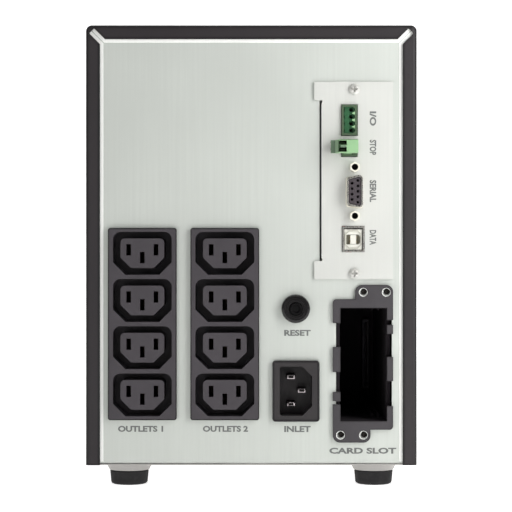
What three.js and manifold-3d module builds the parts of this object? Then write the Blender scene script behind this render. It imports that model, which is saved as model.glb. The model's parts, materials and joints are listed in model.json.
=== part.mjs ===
// A tower uninterruptible power supply with eight IEC outlets on its rear panel.
// Millimetres, +Z up, the rear panel faces -Y and the front bezel faces +Y.
// While it is built, y = 0 is the outer face of the cover's rear flange and z = 0 is the floor.
import * as THREE from "three";
import { mergeVertices } from "three/addons/utils/BufferGeometryUtils.js";
import Module from "manifold-3d";

const wasm = await Module();
wasm.setup();

// ---------------------------------------------------------------- driving dimensions

const GAP = 0.3; // left between parts that touch
const PAST = 1; // how far a cutting tool runs past what it cuts

const SHEET = 1.2; // steel of the cover, the base, the rear panel and the brackets
const CASE_WIDTH = 170;
const CASE_HEIGHT = 226;
const CASE_DEPTH = 330; // sheet-metal case, without the front bezel
const CASE_BOTTOM = 12.3; // height of the feet
const CASE_TOP = CASE_BOTTOM + CASE_HEIGHT;
const HALF_WIDTH = CASE_WIDTH / 2;

const COVER_CORNER_RADIUS = 3;
const COVER_BEND_RADIUS = 2;
const REAR_FLANGE = 7.3; // width of the cover's folded rear edge
const MITRE_GAP = 3.6;
const MITRE_STOP = 3; // from the outer edges to the end of the mitre gap
const VENT = { length: 28, width: 3.6, pitch: 10, count: 7, rows: [150, 190], firstY: 60 };

const PANEL_FACE = SHEET + GAP; // outer face of the rear panel
const PANEL_BACK = PANEL_FACE + SHEET;
const PANEL_RETURN = 12; // how deep the panel's edges are folded back
const PANEL_EDGE = HALF_WIDTH - SHEET - GAP;
const PANEL_BOTTOM = CASE_BOTTOM + SHEET + GAP;
const PANEL_TOP = CASE_TOP - SHEET - GAP;
const PANEL_CORNER = 2.5;

const FOOT = { x: 64.3, rearY: 26, frontY: 304, radius: 10.2 };
const CONE = { top: 13.6, bottom: 10.5, height: 4.8 }; // drawn in the base above each foot

// IEC 60320 outlets, four to a block
const OUTLET = {
  pitch: 24.2,
  trenchWidth: 30.2,
  trenchHeight: 22,
  trenchCorner: 4,
  trenchChamfer: 6.4,
  trenchDepth: 17,
  bossWidth: 22.4,
  bossHeight: 15.2,
  bossCorner: 2.2,
  bossChamfer: 5.4,
  pinSpacing: 14,
  pinRise: 1.8, // of the line and neutral slots above the middle
  earthDrop: 4,
  slotWidth: 2.4,
  slotHeight: 5.8,
};
const BLOCK = {
  leftX: -55.9, rightX: -13.6, z: 84.8, width: 35.2, height: 98.5, corner: 1.2, bevel: 0.8,
  depth: 26, count: 4,
};
const CONNECTOR_FACE = PANEL_FACE - GAP - 2; // of the outlet blocks and the inlet
const CHANNEL = { front: 19.5, width: 6 }; // open grooves at the back of a block, for its contact bars

const INLET = {
  x: 22.9, z: 50.4, width: 24.1, height: 31.3, corner: 1.6, bevel: 0.8,
  cavityWidth: 16.6, cavityHeight: 25.2, floor: 14, back: 24,
};
const INLET_PIN = { thick: 2, wide: 4, front: 1.5, back: 33 };

const BREAKER = { x: 22.8, z: 92.6, nutRadius: 7.45, neckRadius: 5.6, boreRadius: 3.5 };
const BREAKER_BUTTON = { radius: 3.2, dishRadius: 2.3, dishDepth: 1.5 };

// The card slot: a duct behind a stepped flange
const SLOT = {
  left: 45.7, right: 69.6, bottom: 34.9, top: 93, // the opening
  ductLeft: 44.1, ductRight: 71.8,
  flangeLeft: 41.8, flangeRight: 72.7, flangeBottom: 30.6, flangeTop: 97.5,
  tabBottom: 24, tabTop: 104.9, upperTabLeft: 53.3, lowerTabRight: 61.1,
  holeSpacing: 11.8, holeRadius: 2.3, depth: 112, wall: 1.6, setBack: 8,
};

const CARD_RAILS = [63.1, 66.3]; // a card's edge runs between them

// The signal connectors stand on an upright board behind their bracket
const BRACKET = {
  left: 32.3, right: 72.7, bottom: 107.8, top: 209.1, thick: 1, fold: 36, slitBottom: 117.9, slitTop: 198.9,
};
const BRACKET_SCREW = { x: 52.9, upperZ: 205.2, lowerZ: 110.8, head: 2.7, shank: 1.5 };
const SCREW_HOLE = 1.8; // radius
const BOARD = { face: 46, thick: 1.6 };
const SIGNAL_X = 50.35;
const POLE_PITCH = 3.5;
const HEADER = {
  width: 8, front: -1.3, back: 12, dryZ: 189.4, epoZ: 175.1, wall: 1, cavityRight: SIGNAL_X + 1.4,
};
const EPO_PLUG = {
  left: 40.6, right: 54.4, face: -9.6, height: 6.6, lift: 0.45, stepX: 42.8, faceX: 44.2, stepY: -4.4,
};
const SERIAL = {
  x: 52.9, z: 152.7, height: 16.4, width: 8, front: -5.4, wall: 0.75, taper: 1, screwOffset: 12.5,
};
const SERIAL_CONTACT = { pitch: 2.77, rowOffset: 1.5, radius: 0.75 };
const USB = { x: 52.3, z: 128.4, width: 11.1, height: 12.9, front: -0.6, wall: 0.6, gap: 0.4, drop: 0.25 };
const USB_MOUTH = { width: 7.2, height: 5.1, chamfer: 1, tongueWidth: 3, tongueHeight: 4.7 };

// The front bezel, arched in plan
const BEZEL = {
  rear: CASE_DEPTH + GAP, side: 350, shoulder: 358.5, crown: 366, shoulderX: 77, wall: 2.5, bevel: 3,
};
const WINDOW = { halfWidth: 40, bottom: 177, top: 221, depth: 2 };
const LCD = { halfWidth: 29, bottom: 182, top: 216 };
const POWER_BUTTON = { z: 152, radius: 9, travel: 2.5 };
const KEY = { x: 27, z: 152, width: 17, height: 7.5 };
const LOUVRE = { length: 116, width: 3.8, pitch: 11, count: 8, firstZ: 36 };
const HOOK = { x: 70, zs: [46, 205], width: 12, thick: 2.4, tip: 323.6 };
const DISPLAY_BOARD = { rear: 349.5, front: 351.1 };

const BATTERY = { width: 65, length: 151, height: 94, x: 33.5, rearY: 172, bottom: 15.5 };
const SHELF = { left: -72, right: 34, rear: 42, front: 324, z: 119.5 };
const MAIN_BOARD_Z = 127.5;

// ---------------------------------------------------------------- materials

function paint(color, roughness, metalness = 0) {
  return new THREE.MeshStandardMaterial({ color, roughness, metalness });
}

const MATERIAL = {
  blackPaint: paint(0x38363a, 0.55),
  panelSteel: paint(0xcdd0ca, 0.45, 0.3),
  bracketPaint: paint(0xe6e7e2, 0.5),
  zincSteel: paint(0xa8a9a6, 0.4, 0.8),
  blackPlastic: paint(0x2a292b, 0.6),
  greyPlastic: paint(0x4a474b, 0.6),
  rubber: paint(0x262527, 0.85),
  brass: paint(0xb99a55, 0.35, 1),
  nickel: paint(0xc9c8c2, 0.3, 1),
  darkGreen: paint(0x2f6b45, 0.5),
  lightGreen: paint(0xa3c79e, 0.5),
  cream: paint(0xece8d8, 0.5),
  smokedLens: paint(0x101214, 0.1),
  lcd: paint(0x7f9a8c, 0.3),
  board: paint(0x1f5a38, 0.5),
  batteryCase: paint(0x3b3e42, 0.55),
  copper: paint(0xa55a2a, 0.4, 0.6),
  core: paint(0x55575b, 0.5, 0.7),
  aluminium: paint(0xb4b7ba, 0.4, 0.9),
  redWire: paint(0xa82020, 0.5),
  blackWire: paint(0x1c1c1d, 0.5),
};

// ---------------------------------------------------------------- solids

// A closed three.js geometry as a manifold-3d solid.
function solid(geometry) {
  const bare = geometry.index ? geometry.toNonIndexed() : geometry.clone();
  bare.deleteAttribute("normal");
  bare.deleteAttribute("uv");
  const welded = mergeVertices(bare, 1e-4);
  return new wasm.Manifold(
    new wasm.Mesh({
      numProp: 3,
      vertProperties: welded.attributes.position.array,
      triVerts: new Uint32Array(welded.index.array),
    }),
  );
}

function geometryOf(made) {
  const mesh = made.getMesh();
  const geometry = new THREE.BufferGeometry();
  geometry.setAttribute("position", new THREE.BufferAttribute(new Float32Array(mesh.vertProperties), 3));
  geometry.setIndex(new THREE.BufferAttribute(new Uint32Array(mesh.triVerts), 1));
  return geometry;
}

const join = (first, ...rest) => rest.reduce((sum, s) => sum.add(s), first);
const cut = (body, ...tools) => tools.reduce((left, s) => left.subtract(s), body);

function box(x0, x1, y0, y1, z0, z1) {
  const g = new THREE.BoxGeometry(x1 - x0, y1 - y0, z1 - z0);
  g.translate((x0 + x1) / 2, (y0 + y1) / 2, (z0 + z1) / 2);
  return solid(g);
}

// An outline drawn in (x, z), made solid from y0 to y1.
function slab(shape, y0, y1, curveSegments = 4, bevel = 0, bevelSegments = 2) {
  const g = new THREE.ExtrudeGeometry(shape, {
    depth: y1 - y0 - 2 * bevel,
    curveSegments,
    bevelEnabled: bevel > 0,
    bevelThickness: bevel,
    bevelSize: bevel,
    bevelOffset: -bevel,
    bevelSegments,
  });
  g.rotateX(Math.PI / 2);
  g.translate(0, y1 - bevel, 0);
  return solid(g);
}

// A cylinder along Y.
function rod(radius, x, z, y0, y1, sides = 20) {
  const g = new THREE.CylinderGeometry(radius, radius, y1 - y0, sides);
  g.translate(x, (y0 + y1) / 2, z);
  return solid(g);
}

// A cylinder along Z.
function post(radius, x, y, z0, z1, sides = 20) {
  const g = new THREE.CylinderGeometry(radius, radius, z1 - z0, sides);
  g.rotateX(Math.PI / 2);
  g.translate(x, y, (z0 + z1) / 2);
  return solid(g);
}

// A profile of [radius, height] pairs turned about Z at (x, y).
// It starts and ends on the axis, or closes on itself.
function turned(profile, x, y, sides = 24) {
  const g = new THREE.LatheGeometry(profile.map(([r, h]) => new THREE.Vector2(r, h)), sides);
  g.rotateX(Math.PI / 2);
  g.translate(x, y, 0);
  return solid(g);
}

// A profile of [radius, y] pairs turned about the Y direction at (x, z).
function turnedAlongY(profile, x, z, sides = 24) {
  const g = new THREE.LatheGeometry(profile.map(([r, y]) => new THREE.Vector2(r, y)), sides);
  g.translate(x, 0, z);
  return solid(g);
}

// A round lead through a list of [x, y, z] points.
function lead(points, radius, steps) {
  const path = new THREE.CatmullRomCurve3(points.map((p) => new THREE.Vector3(...p)), false, "centripetal");
  const section = new THREE.Shape();
  section.absarc(0, 0, radius, 0, 2 * Math.PI);
  return solid(new THREE.ExtrudeGeometry(section, { steps, curveSegments: 4, extrudePath: path }));
}

// ---------------------------------------------------------------- outlines in (x, z)

function roundedRectangle(x0, x1, z0, z1, r) {
  const s = new THREE.Shape();
  s.absarc(x1 - r, z0 + r, r, -Math.PI / 2, 0);
  s.absarc(x1 - r, z1 - r, r, 0, Math.PI / 2);
  s.absarc(x0 + r, z1 - r, r, Math.PI / 2, Math.PI);
  s.absarc(x0 + r, z0 + r, r, Math.PI, 1.5 * Math.PI);
  s.closePath();
  return s;
}

// A slot with round ends, along the first or the second axis of its plane.
function obround(x, z, length, width, alongX = true) {
  const half = length / 2;
  const side = width / 2;
  return alongX
    ? roundedRectangle(x - half, x + half, z - side, z + side, side)
    : roundedRectangle(x - side, x + side, z - half, z + half, side);
}

// The outline of an IEC connector: square on one long side, cut off at 45 degrees on the other.
// It is centred on (x, z), with the cut corners at the bottom, or on the right when it is turned.
function iecOutline(x, z, width, height, chamfer, radius, turnedRight = false) {
  const w = width / 2;
  const h = height / 2;
  const s = new THREE.Shape();
  const at = (u, v) => (turnedRight ? [x - v, z + u] : [x + u, z + v]);
  const arc = (u, v, from, to) => {
    const [cx, cz] = at(u, v);
    const turn = turnedRight ? Math.PI / 2 : 0;
    s.absarc(cx, cz, radius, from + turn, to + turn);
  };
  s.moveTo(...at(-w + chamfer, -h));
  s.lineTo(...at(w - chamfer, -h));
  s.lineTo(...at(w, -h + chamfer));
  arc(w - radius, h - radius, 0, Math.PI / 2);
  arc(-w + radius, h - radius, Math.PI / 2, Math.PI);
  s.lineTo(...at(-w, -h + chamfer));
  s.closePath();
  return s;
}

// The D outline of the nine-way connector standing on end, its long side towards +X, offset outwards.
function serialOutline(outset) {
  const { x, z, taper } = SERIAL;
  const w = SERIAL.width / 2 + outset;
  const h = SERIAL.height / 2 + outset;
  const r = 2 + Math.min(outset, 0);
  const s = new THREE.Shape();
  s.absarc(x + w - r, z - h + r, r, -Math.PI / 2, 0);
  s.absarc(x + w - r, z + h - r, r, 0, Math.PI / 2);
  s.absarc(x - w + r, z + h - taper - r, r, Math.PI / 2, Math.PI);
  s.absarc(x - w + r, z - h + taper + r, r, Math.PI, 1.5 * Math.PI);
  s.closePath();
  return s;
}

// ---------------------------------------------------------------- case

// The cover before it is opened: a block with round top corners and a round rear edge, offset inwards.
function coverBlock(inset, y0, y1) {
  const half = HALF_WIDTH - inset;
  const top = CASE_TOP - inset;
  const below = CASE_BOTTOM - 20;
  const r = COVER_CORNER_RADIUS - inset;
  const s = new THREE.Shape();
  s.moveTo(-half, below);
  s.lineTo(half, below);
  s.absarc(half - r, top - r, r, 0, Math.PI / 2);
  s.absarc(-half + r, top - r, r, Math.PI / 2, Math.PI);
  s.closePath();
  return slab(s, y0, y1, 4, COVER_BEND_RADIUS - inset, 3);
}

// The open diagonal between two folded flanges, at the left (-1) or right (1) top corner.
function mitreTool(side) {
  const innerX = HALF_WIDTH - REAR_FLANGE;
  const innerZ = CASE_TOP - REAR_FLANGE;
  const reach = (REAR_FLANGE - MITRE_STOP) * Math.SQRT2;
  const back = 4;
  const g = new THREE.BoxGeometry(reach + back, SHEET + PAST, MITRE_GAP);
  g.translate((reach - back) / 2, (SHEET + GAP / 2 - PAST) / 2, 0);
  g.rotateY(side > 0 ? -Math.PI / 4 : (-3 * Math.PI) / 4);
  g.translate(side * innerX, 0, innerZ);
  return solid(g);
}

// Upright ventilation slots through both side walls, in two rows.
function ventTools() {
  const tools = [];
  for (const z of VENT.rows) {
    for (let i = 0; i < VENT.count; i++) {
      const y = VENT.firstY + i * VENT.pitch;
      const shape = obround(0, 0, VENT.length, VENT.width, false);
      const g = new THREE.ExtrudeGeometry(shape, {
        depth: CASE_WIDTH + 2 * PAST,
        curveSegments: 2,
        bevelEnabled: false,
      });
      g.rotateX(Math.PI / 2);
      g.rotateZ(Math.PI / 2);
      g.translate(-HALF_WIDTH - PAST, y, z);
      tools.push(solid(g));
    }
  }
  return tools;
}

function topCover() {
  const shell = cut(coverBlock(0, 0, CASE_DEPTH + 20), coverBlock(SHEET, SHEET, CASE_DEPTH + 40));
  const trimmed = shell.intersect(
    box(-HALF_WIDTH - PAST, HALF_WIDTH + PAST, -PAST, CASE_DEPTH, CASE_BOTTOM, CASE_TOP + PAST),
  );
  const innerX = HALF_WIDTH - REAR_FLANGE;
  const rearWindow = box(-innerX, innerX, -PAST, SHEET + PAST, CASE_BOTTOM - PAST, CASE_TOP - REAR_FLANGE);
  return cut(trimmed, rearWindow, mitreTool(-1), mitreTool(1), ...ventTools());
}

// The panel's outline before it is opened, offset inwards.
function panelOutline(inset) {
  const edge = PANEL_EDGE - inset;
  return roundedRectangle(-edge, edge, PANEL_BOTTOM + inset, PANEL_TOP - inset, PANEL_CORNER - inset);
}

// The folded rear panel with the cut-outs for everything that is mounted on it.
function rearPanel() {
  const pan = cut(
    slab(panelOutline(0), PANEL_FACE, PANEL_RETURN),
    slab(panelOutline(SHEET), PANEL_BACK, PANEL_RETURN + PAST),
  );
  const through = [0, PANEL_BACK + PAST];
  const mountingHole = ({ x, z, width, height }) => {
    const [w, h] = [width / 2 - 1.2, height / 2 - 1.4];
    return box(x - w, x + w, ...through, z - h, z + h);
  };
  const slotHole = box(
    SLOT.ductLeft - 2 * GAP, SLOT.ductRight + 0.4, ...through,
    SLOT.bottom - SLOT.wall - GAP, SLOT.top + SLOT.wall + GAP,
  );
  const signalWindow = box(
    BRACKET.fold - 0.9, 70, ...through, BRACKET.slitBottom - 0.6, BRACKET.slitTop + 0.6,
  );
  const screwHole = (z) => rod(SCREW_HOLE, BRACKET_SCREW.x, z, ...through, 12);
  return cut(
    pan,
    mountingHole({ ...BLOCK, x: BLOCK.leftX }),
    mountingHole({ ...BLOCK, x: BLOCK.rightX }),
    mountingHole(INLET),
    slotHole,
    ...slotHoleCentres().map(([x, z]) => rod(SLOT.holeRadius + 0.7, x, z, ...through, 16)),
    signalWindow,
    rod(BREAKER.neckRadius + GAP, BREAKER.x, BREAKER.z, ...through),
    screwHole(BRACKET_SCREW.upperZ),
    screwHole(BRACKET_SCREW.lowerZ),
  );
}

const footPlaces = {
  foot_rear_left: [-FOOT.x, FOOT.rearY],
  foot_rear_right: [FOOT.x, FOOT.rearY],
  foot_front_left: [-FOOT.x, FOOT.frontY],
  foot_front_right: [FOOT.x, FOOT.frontY],
};

// A drawn cone in the base, with a hole for the foot's stem.
function footCone([x, y]) {
  const top = CASE_BOTTOM + SHEET;
  const low = CASE_BOTTOM - CONE.height;
  const floor = low + SHEET;
  const stemHole = 3;
  return turned(
    [
      [stemHole, low], [CONE.bottom, low], [CONE.bottom + 1.1, low + 2.1], [CONE.top, CASE_BOTTOM],
      [CONE.top + PAST, CASE_BOTTOM], [CONE.top + PAST, top], [CONE.top - SHEET, top],
      [CONE.bottom - 0.2, low + 2.9], [CONE.bottom - SHEET, floor], [stemHole, floor], [stemHole, low],
    ],
    x, y,
  );
}

// Floor, low side lips and front wall in one folded sheet; the front wall has the battery opening.
function basePan() {
  const edge = PANEL_EDGE;
  const wallFace = CASE_DEPTH - 1.8;
  const floor = box(-edge, edge, PANEL_FACE, wallFace, CASE_BOTTOM, CASE_BOTTOM + SHEET);
  const lip = (side) => {
    const [x0, x1] = side > 0 ? [edge - SHEET, edge] : [-edge, -edge + SHEET];
    return box(x0, x1, PANEL_RETURN + 2, wallFace, CASE_BOTTOM, CASE_BOTTOM + 20);
  };
  const wallShape = roundedRectangle(-edge, edge, CASE_BOTTOM, PANEL_TOP, PANEL_CORNER);
  const wall = slab(wallShape, wallFace - SHEET, wallFace).add(
    box(-edge, edge, wallFace - SHEET, wallFace, CASE_BOTTOM, CASE_BOTTOM + 10),
  );
  const centres = Object.values(footPlaces);
  const holes = centres.map(([x, y]) =>
    post(CONE.top, x, y, CASE_BOTTOM - PAST, CASE_BOTTOM + SHEET + PAST, 24));
  const through = [wallFace - SHEET - PAST, wallFace + PAST];
  const batteryOpening = box(-68, 68, ...through, CASE_BOTTOM + 4, 114);
  const cableHole = rod(7, 0, 152, ...through);
  const folded = join(floor, lip(-1), lip(1), wall);
  return join(
    cut(folded, ...holes, ...HOOK.zs.flatMap((z) => hookSlots(z, ...through)), batteryOpening, cableHole),
    ...centres.map(footCone),
  );
}

// Where the bezel's left and right hooks pass through a sheet.
function hookSlots(z, y0, y1) {
  const reach = HOOK.width / 2 + 1;
  const [low, high] = [z - HOOK.thick / 2 - 0.8, z + HOOK.thick / 2 + 2.4];
  return [-HOOK.x, HOOK.x].map((x) => box(x - reach, x + reach, y0, y1, low, high));
}

// A push-in rubber foot: a tapered puck, a stem and a barb above the cone.
function foot([x, y]) {
  const top = CASE_BOTTOM - CONE.height - GAP;
  const rest = FOOT.radius - 1.6;
  const stem = 2.7;
  return turned(
    [
      [0, 0], [rest, 0], [rest + 1, 0.8], [FOOT.radius, top], [stem, top], [stem, top + 2.1],
      [3.8, top + 2.3], [2, top + 4.5], [0, top + 4.5],
    ],
    x, y,
  );
}

function batteryDoor() {
  const face = CASE_DEPTH - 1.8 + GAP;
  return cut(
    slab(roundedRectangle(-76, 76, CASE_BOTTOM + 3, 122, 3), face, face + SHEET),
    ...hookSlots(HOOK.zs[0], face - PAST, face + SHEET + PAST),
  );
}

// ---------------------------------------------------------------- mains connectors

// The outside of a snap-in connector: a flange with soft edges on the panel and a body through it.
function snapInBody({ x, z, width, height, corner, bevel }, back) {
  const front = CONNECTOR_FACE;
  const w = width / 2;
  const h = height / 2;
  const outline = roundedRectangle(x - w, x + w, z - h, z + h, corner);
  const body = box(x - w + 1.6, x + w - 1.6, front + 1, back, z - h + 1.8, z + h - 1.8);
  return slab(outline, front, PANEL_FACE - GAP, 3, bevel).add(body);
}

// The trench round one outlet's boss, and the boss's three slots.
function outletTools(x, z) {
  const front = CONNECTOR_FACE;
  const { trenchWidth, trenchHeight, trenchChamfer, trenchCorner, trenchDepth } = OUTLET;
  const { bossWidth, bossHeight, bossChamfer, bossCorner, slotWidth, slotHeight } = OUTLET;
  const trench = slab(
    iecOutline(x, z, trenchWidth, trenchHeight, trenchChamfer, trenchCorner),
    front - PAST, front + trenchDepth,
  );
  const boss = slab(
    iecOutline(x, z, bossWidth, bossHeight, bossChamfer, bossCorner),
    front - 2 * PAST, front + trenchDepth + PAST, 3,
  );
  const [w, h] = [slotWidth / 2, slotHeight / 2];
  const slots = contactPlaces().map(([dx, dz]) =>
    box(x + dx - w, x + dx + w, front - PAST, CHANNEL.front + PAST, z + dz - h, z + dz + h));
  return [trench.subtract(boss), ...slots];
}

// A block of four outlets, open at the back where its contact bars lie.
function outletBlock(x) {
  const half = BLOCK.height / 2 - 4;
  const channels = contactPlaces().map(([dx]) =>
    box(x + dx - CHANNEL.width / 2, x + dx + CHANNEL.width / 2, CHANNEL.front, BLOCK.depth + PAST,
      BLOCK.z - half, BLOCK.z + half));
  const outlets = outletCentres().flatMap((z) => outletTools(x, z));
  return cut(snapInBody({ ...BLOCK, x }, BLOCK.depth), ...outlets, ...channels);
}

// Line, neutral and earth contacts of one outlet, from its centre.
const contactPlaces = () => [
  [-OUTLET.pinSpacing / 2, OUTLET.pinRise],
  [OUTLET.pinSpacing / 2, OUTLET.pinRise],
  [0, OUTLET.pinRise - OUTLET.earthDrop],
];

function outletCentres() {
  const highest = BLOCK.z + ((BLOCK.count - 1) * OUTLET.pitch) / 2;
  return Array.from({ length: BLOCK.count }, (_, i) => highest - i * OUTLET.pitch);
}

// A pressed contact bar that runs behind four outlets and ends in a push-on tab.
function contactBar(centreX, dx) {
  const front = CHANNEL.front + 1.2;
  const half = BLOCK.height / 2 - 6;
  const x = centreX + dx;
  const strip = box(x - 2.2, x + 2.2, front, front + 0.8, BLOCK.z - half, BLOCK.z + half);
  const tab = box(x - 2.2, x + 2.2, front, BLOCK.depth + 8, BLOCK.z - half, BLOCK.z - half + 0.8);
  return strip.add(tab);
}

function inletHousing() {
  const cavity = slab(
    iecOutline(INLET.x, INLET.z, INLET.cavityHeight, INLET.cavityWidth, 5, 1.2, true),
    CONNECTOR_FACE - PAST, INLET.floor,
  );
  const w = INLET_PIN.wide / 2 + GAP;
  const h = INLET_PIN.thick / 2 + GAP;
  const pinHoles = inletPinPlaces().map(([x, z]) =>
    box(x - w, x + w, INLET.floor - PAST, INLET.back + PAST, z - h, z + h));
  return cut(snapInBody(INLET, INLET.back), cavity, ...pinHoles);
}

// Line, neutral and earth blades; the inlet lies on its side, so earth is on the right.
const inletPinPlaces = () => [
  [INLET.x - 2.5, INLET.z + OUTLET.pinSpacing / 2],
  [INLET.x - 2.5, INLET.z - OUTLET.pinSpacing / 2],
  [INLET.x + 3, INLET.z],
];

// A flat blade with a stepped tip.
function inletPin([x, z]) {
  const { front, back } = INLET_PIN;
  const w = INLET_PIN.wide / 2;
  const h = INLET_PIN.thick / 2;
  const blade = box(x - w, x + w, front + 1, back, z - h, z + h);
  const tip = box(x - w + 0.7, x + w - 0.7, front, front + 2, z - h + 0.5, z + h - 0.5);
  return blade.add(tip);
}

function breakerBody() {
  const { x, z } = BREAKER;
  const body = box(x - 7, x + 7, PANEL_BACK + GAP, 36, z - 18, z + 14);
  const neck = rod(BREAKER.neckRadius, x, z, -1.6, PANEL_BACK + PAST);
  const tab = (dz) => box(x - 3, x + 3, 35, 44, z + dz - 0.4, z + dz + 0.4);
  return cut(join(body, neck, tab(-12), tab(8)), rod(BREAKER.boreRadius, x, z, -3, 22));
}

// The round nut that holds the breaker, with a groove turned in its face.
function breakerNut() {
  const { x, z, nutRadius, neckRadius } = BREAKER;
  const back = PANEL_FACE - GAP;
  const bore = neckRadius + GAP;
  const mouth = 4.2;
  return turnedAlongY(
    [
      [bore, -1.9], [mouth, -1.9], [mouth, -2.6], [mouth + 0.3, -3], [4.9, -3], [5.2, -2.6], [5.6, -2.6],
      [5.9, -3], [nutRadius - 1, -2.9], [nutRadius - 0.25, -2.2], [nutRadius, back], [bore, back],
      [bore, -1.9],
    ],
    x, z,
  );
}

// A push button with a dished end.
function breakerButton() {
  const { radius, dishRadius, dishDepth } = BREAKER_BUTTON;
  const face = -2.4;
  return turnedAlongY(
    [
      [0, face + dishDepth], [dishRadius - 0.4, face + dishDepth], [dishRadius, face], [radius - 0.3, face],
      [radius, face + 0.3], [radius, 14], [0, 14],
    ],
    BREAKER.x, BREAKER.z,
  );
}

// ---------------------------------------------------------------- card slot

function slotHoleCentres() {
  const upper = [SLOT.flangeRight - 3.5, SLOT.tabTop - 3.8];
  const lower = [SLOT.flangeLeft + 3.9, SLOT.tabBottom + 3.8];
  return [upper, [upper[0] - SLOT.holeSpacing, upper[1]], lower, [lower[0] + SLOT.holeSpacing, lower[1]]];
}

// The stepped flange with its two screw tabs.
function slotFlange(y0, y1) {
  const s = new THREE.Shape();
  const r = 3.6;
  const corner = 1.8;
  s.absarc(SLOT.lowerTabRight - r, SLOT.tabBottom + r, r, -Math.PI / 2, 0);
  s.lineTo(SLOT.lowerTabRight, SLOT.flangeBottom);
  s.absarc(SLOT.flangeRight - corner, SLOT.flangeBottom + corner, corner, -Math.PI / 2, 0);
  s.absarc(SLOT.flangeRight - r, SLOT.tabTop - r, r, 0, Math.PI / 2);
  s.absarc(SLOT.upperTabLeft + r, SLOT.tabTop - r, r, Math.PI / 2, Math.PI);
  s.lineTo(SLOT.upperTabLeft, SLOT.flangeTop);
  s.absarc(SLOT.flangeLeft + corner, SLOT.flangeTop - corner, corner, Math.PI / 2, Math.PI);
  s.absarc(SLOT.flangeLeft + r, SLOT.tabBottom + r, r, Math.PI, 1.5 * Math.PI);
  s.closePath();
  const holes = slotHoleCentres().map(([x, z]) => rod(SLOT.holeRadius, x, z, y0 - PAST, y1 + PAST, 16));
  return cut(slab(s, y0, y1), ...holes);
}

// The gaps in the flange beside the opening, [left side?, bottom, top]. The duct's wall is set back in each.
const slotNotches = [
  [true, 73, 85.3], [true, 49.9, 60.2], [true, 43.5, 45.2],
  [false, 84.3, 86.8], [false, 67.9, 79.7], [false, 42.7, 55.5],
];

function cardSlotFrame() {
  const face = PANEL_FACE - GAP;
  const front = face - 1.6;
  const { left, right, bottom, top, wall, depth } = SLOT;
  const duct = box(SLOT.ductLeft, SLOT.ductRight, face - 0.8, depth, bottom - wall, top + wall);
  const hollow = box(left, right, front - PAST, depth - wall, bottom, top);
  const notches = slotNotches.map(([onLeft, z0, z1]) => {
    const [x0, x1] = onLeft ? [SLOT.flangeLeft - PAST, left] : [right, SLOT.flangeRight + PAST];
    return box(x0, x1, front - PAST, face + SLOT.setBack, z0, z1);
  });
  const rail = (x, z0, z1) => box(x, x + 0.9, face + 24, depth - 1, z0, z1);
  const rails = CARD_RAILS.flatMap((x) => [rail(x, top - 2, top + 1), rail(x, bottom - 1, bottom + 2)]);
  const socketHole = box(62.6, 67, depth - 3, depth + PAST, 44, 84);
  return cut(join(cut(slotFlange(front, face).add(duct), hollow, ...notches), ...rails), socketHole);
}

// The edge socket at the back of the card slot.
function cardSocket() {
  const body = box(62.9, 66.7, SLOT.depth - 9, SLOT.depth + 5, 44.3, 83.7);
  return body.subtract(box(64.2, 65.4, SLOT.depth - 10, SLOT.depth - 3, 46, 82));
}

// ---------------------------------------------------------------- signal connectors

// The bracket's face carries the connectors, and its folded arm behind the panel carries the board.
function interfaceBracket() {
  const face = PANEL_FACE - GAP;
  const { left, right, bottom, top, thick, fold, slitBottom, slitTop } = BRACKET;
  const s = new THREE.Shape();
  s.moveTo(left, bottom);
  s.lineTo(right, bottom);
  s.lineTo(right, top);
  s.lineTo(left, top);
  s.lineTo(left, slitTop + 1);
  s.lineTo(fold, slitTop + 0.3);
  s.lineTo(fold, slitBottom - 0.3);
  s.lineTo(left, slitBottom - 1);
  s.closePath();
  const plate = slab(s, face - thick, face);
  const arm = box(fold, fold + thick, face - thick, 70, slitBottom + 1, slitTop - 1);
  const standoffs = [[30, 128], [60, 190]].map(([y, z]) => {
    const g = new THREE.CylinderGeometry(2.5, 2.5, BOARD.face - BOARD.thick - GAP - fold, 12);
    g.rotateZ(Math.PI / 2);
    g.translate((BOARD.face - BOARD.thick - GAP + fold) / 2, y, z);
    return solid(g);
  });
  const through = [face - thick - PAST, face + GAP];
  const headerHole = (z, poles) =>
    box(SIGNAL_X - HEADER.width / 2 - GAP, SIGNAL_X + HEADER.width / 2 + GAP, ...through,
      z - headerHeight(poles) / 2 - GAP, z + headerHeight(poles) / 2 + GAP);
  const reliefs = [slitBottom, slitTop].map((z) => rod(0.9, fold - 0.4, z, ...through, 12));
  return cut(
    join(plate, arm, ...standoffs), headerHole(HEADER.dryZ, 4), headerHole(HEADER.epoZ, 2), ...reliefs,
    slab(serialOutline(0.4), ...through),
    ...jackscrewCentres().map((z) => rod(JACKSCREW_HOLE, SERIAL.x, z, ...through, 12)),
    box(USB.x - USB.width / 2 - GAP, USB.x + USB.width / 2 + GAP, ...through,
      USB.z - USB.height / 2 - GAP, USB.z + USB.height / 2 + GAP),
    rod(SCREW_HOLE, BRACKET_SCREW.x, BRACKET_SCREW.upperZ, ...through, 12),
    rod(SCREW_HOLE, BRACKET_SCREW.x, BRACKET_SCREW.lowerZ, ...through, 12),
  );
}

const interfaceBoard = () => box(BOARD.face - BOARD.thick, BOARD.face, PANEL_BACK + 1, 94, 113, 203);

// A pan-head screw through the bracket and the panel, with a cross recess.
function bracketScrew(z) {
  const under = PANEL_FACE - GAP - BRACKET.thick - GAP;
  const x = BRACKET_SCREW.x;
  const { head, shank } = BRACKET_SCREW;
  const tip = 7;
  const screw = turnedAlongY(
    [
      [0, under - 2], [1.6, under - 1.9], [head, under - 0.8], [head, under],
      [shank, under], [shank, tip], [0, tip],
    ],
    x, z, 16,
  );
  const blade = (dx, dz) => box(x - dx, x + dx, under - 3, under - 0.5, z - dz, z + dz);
  return cut(screw, blade(1.6, 0.4), blade(0.4, 1.6));
}

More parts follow.
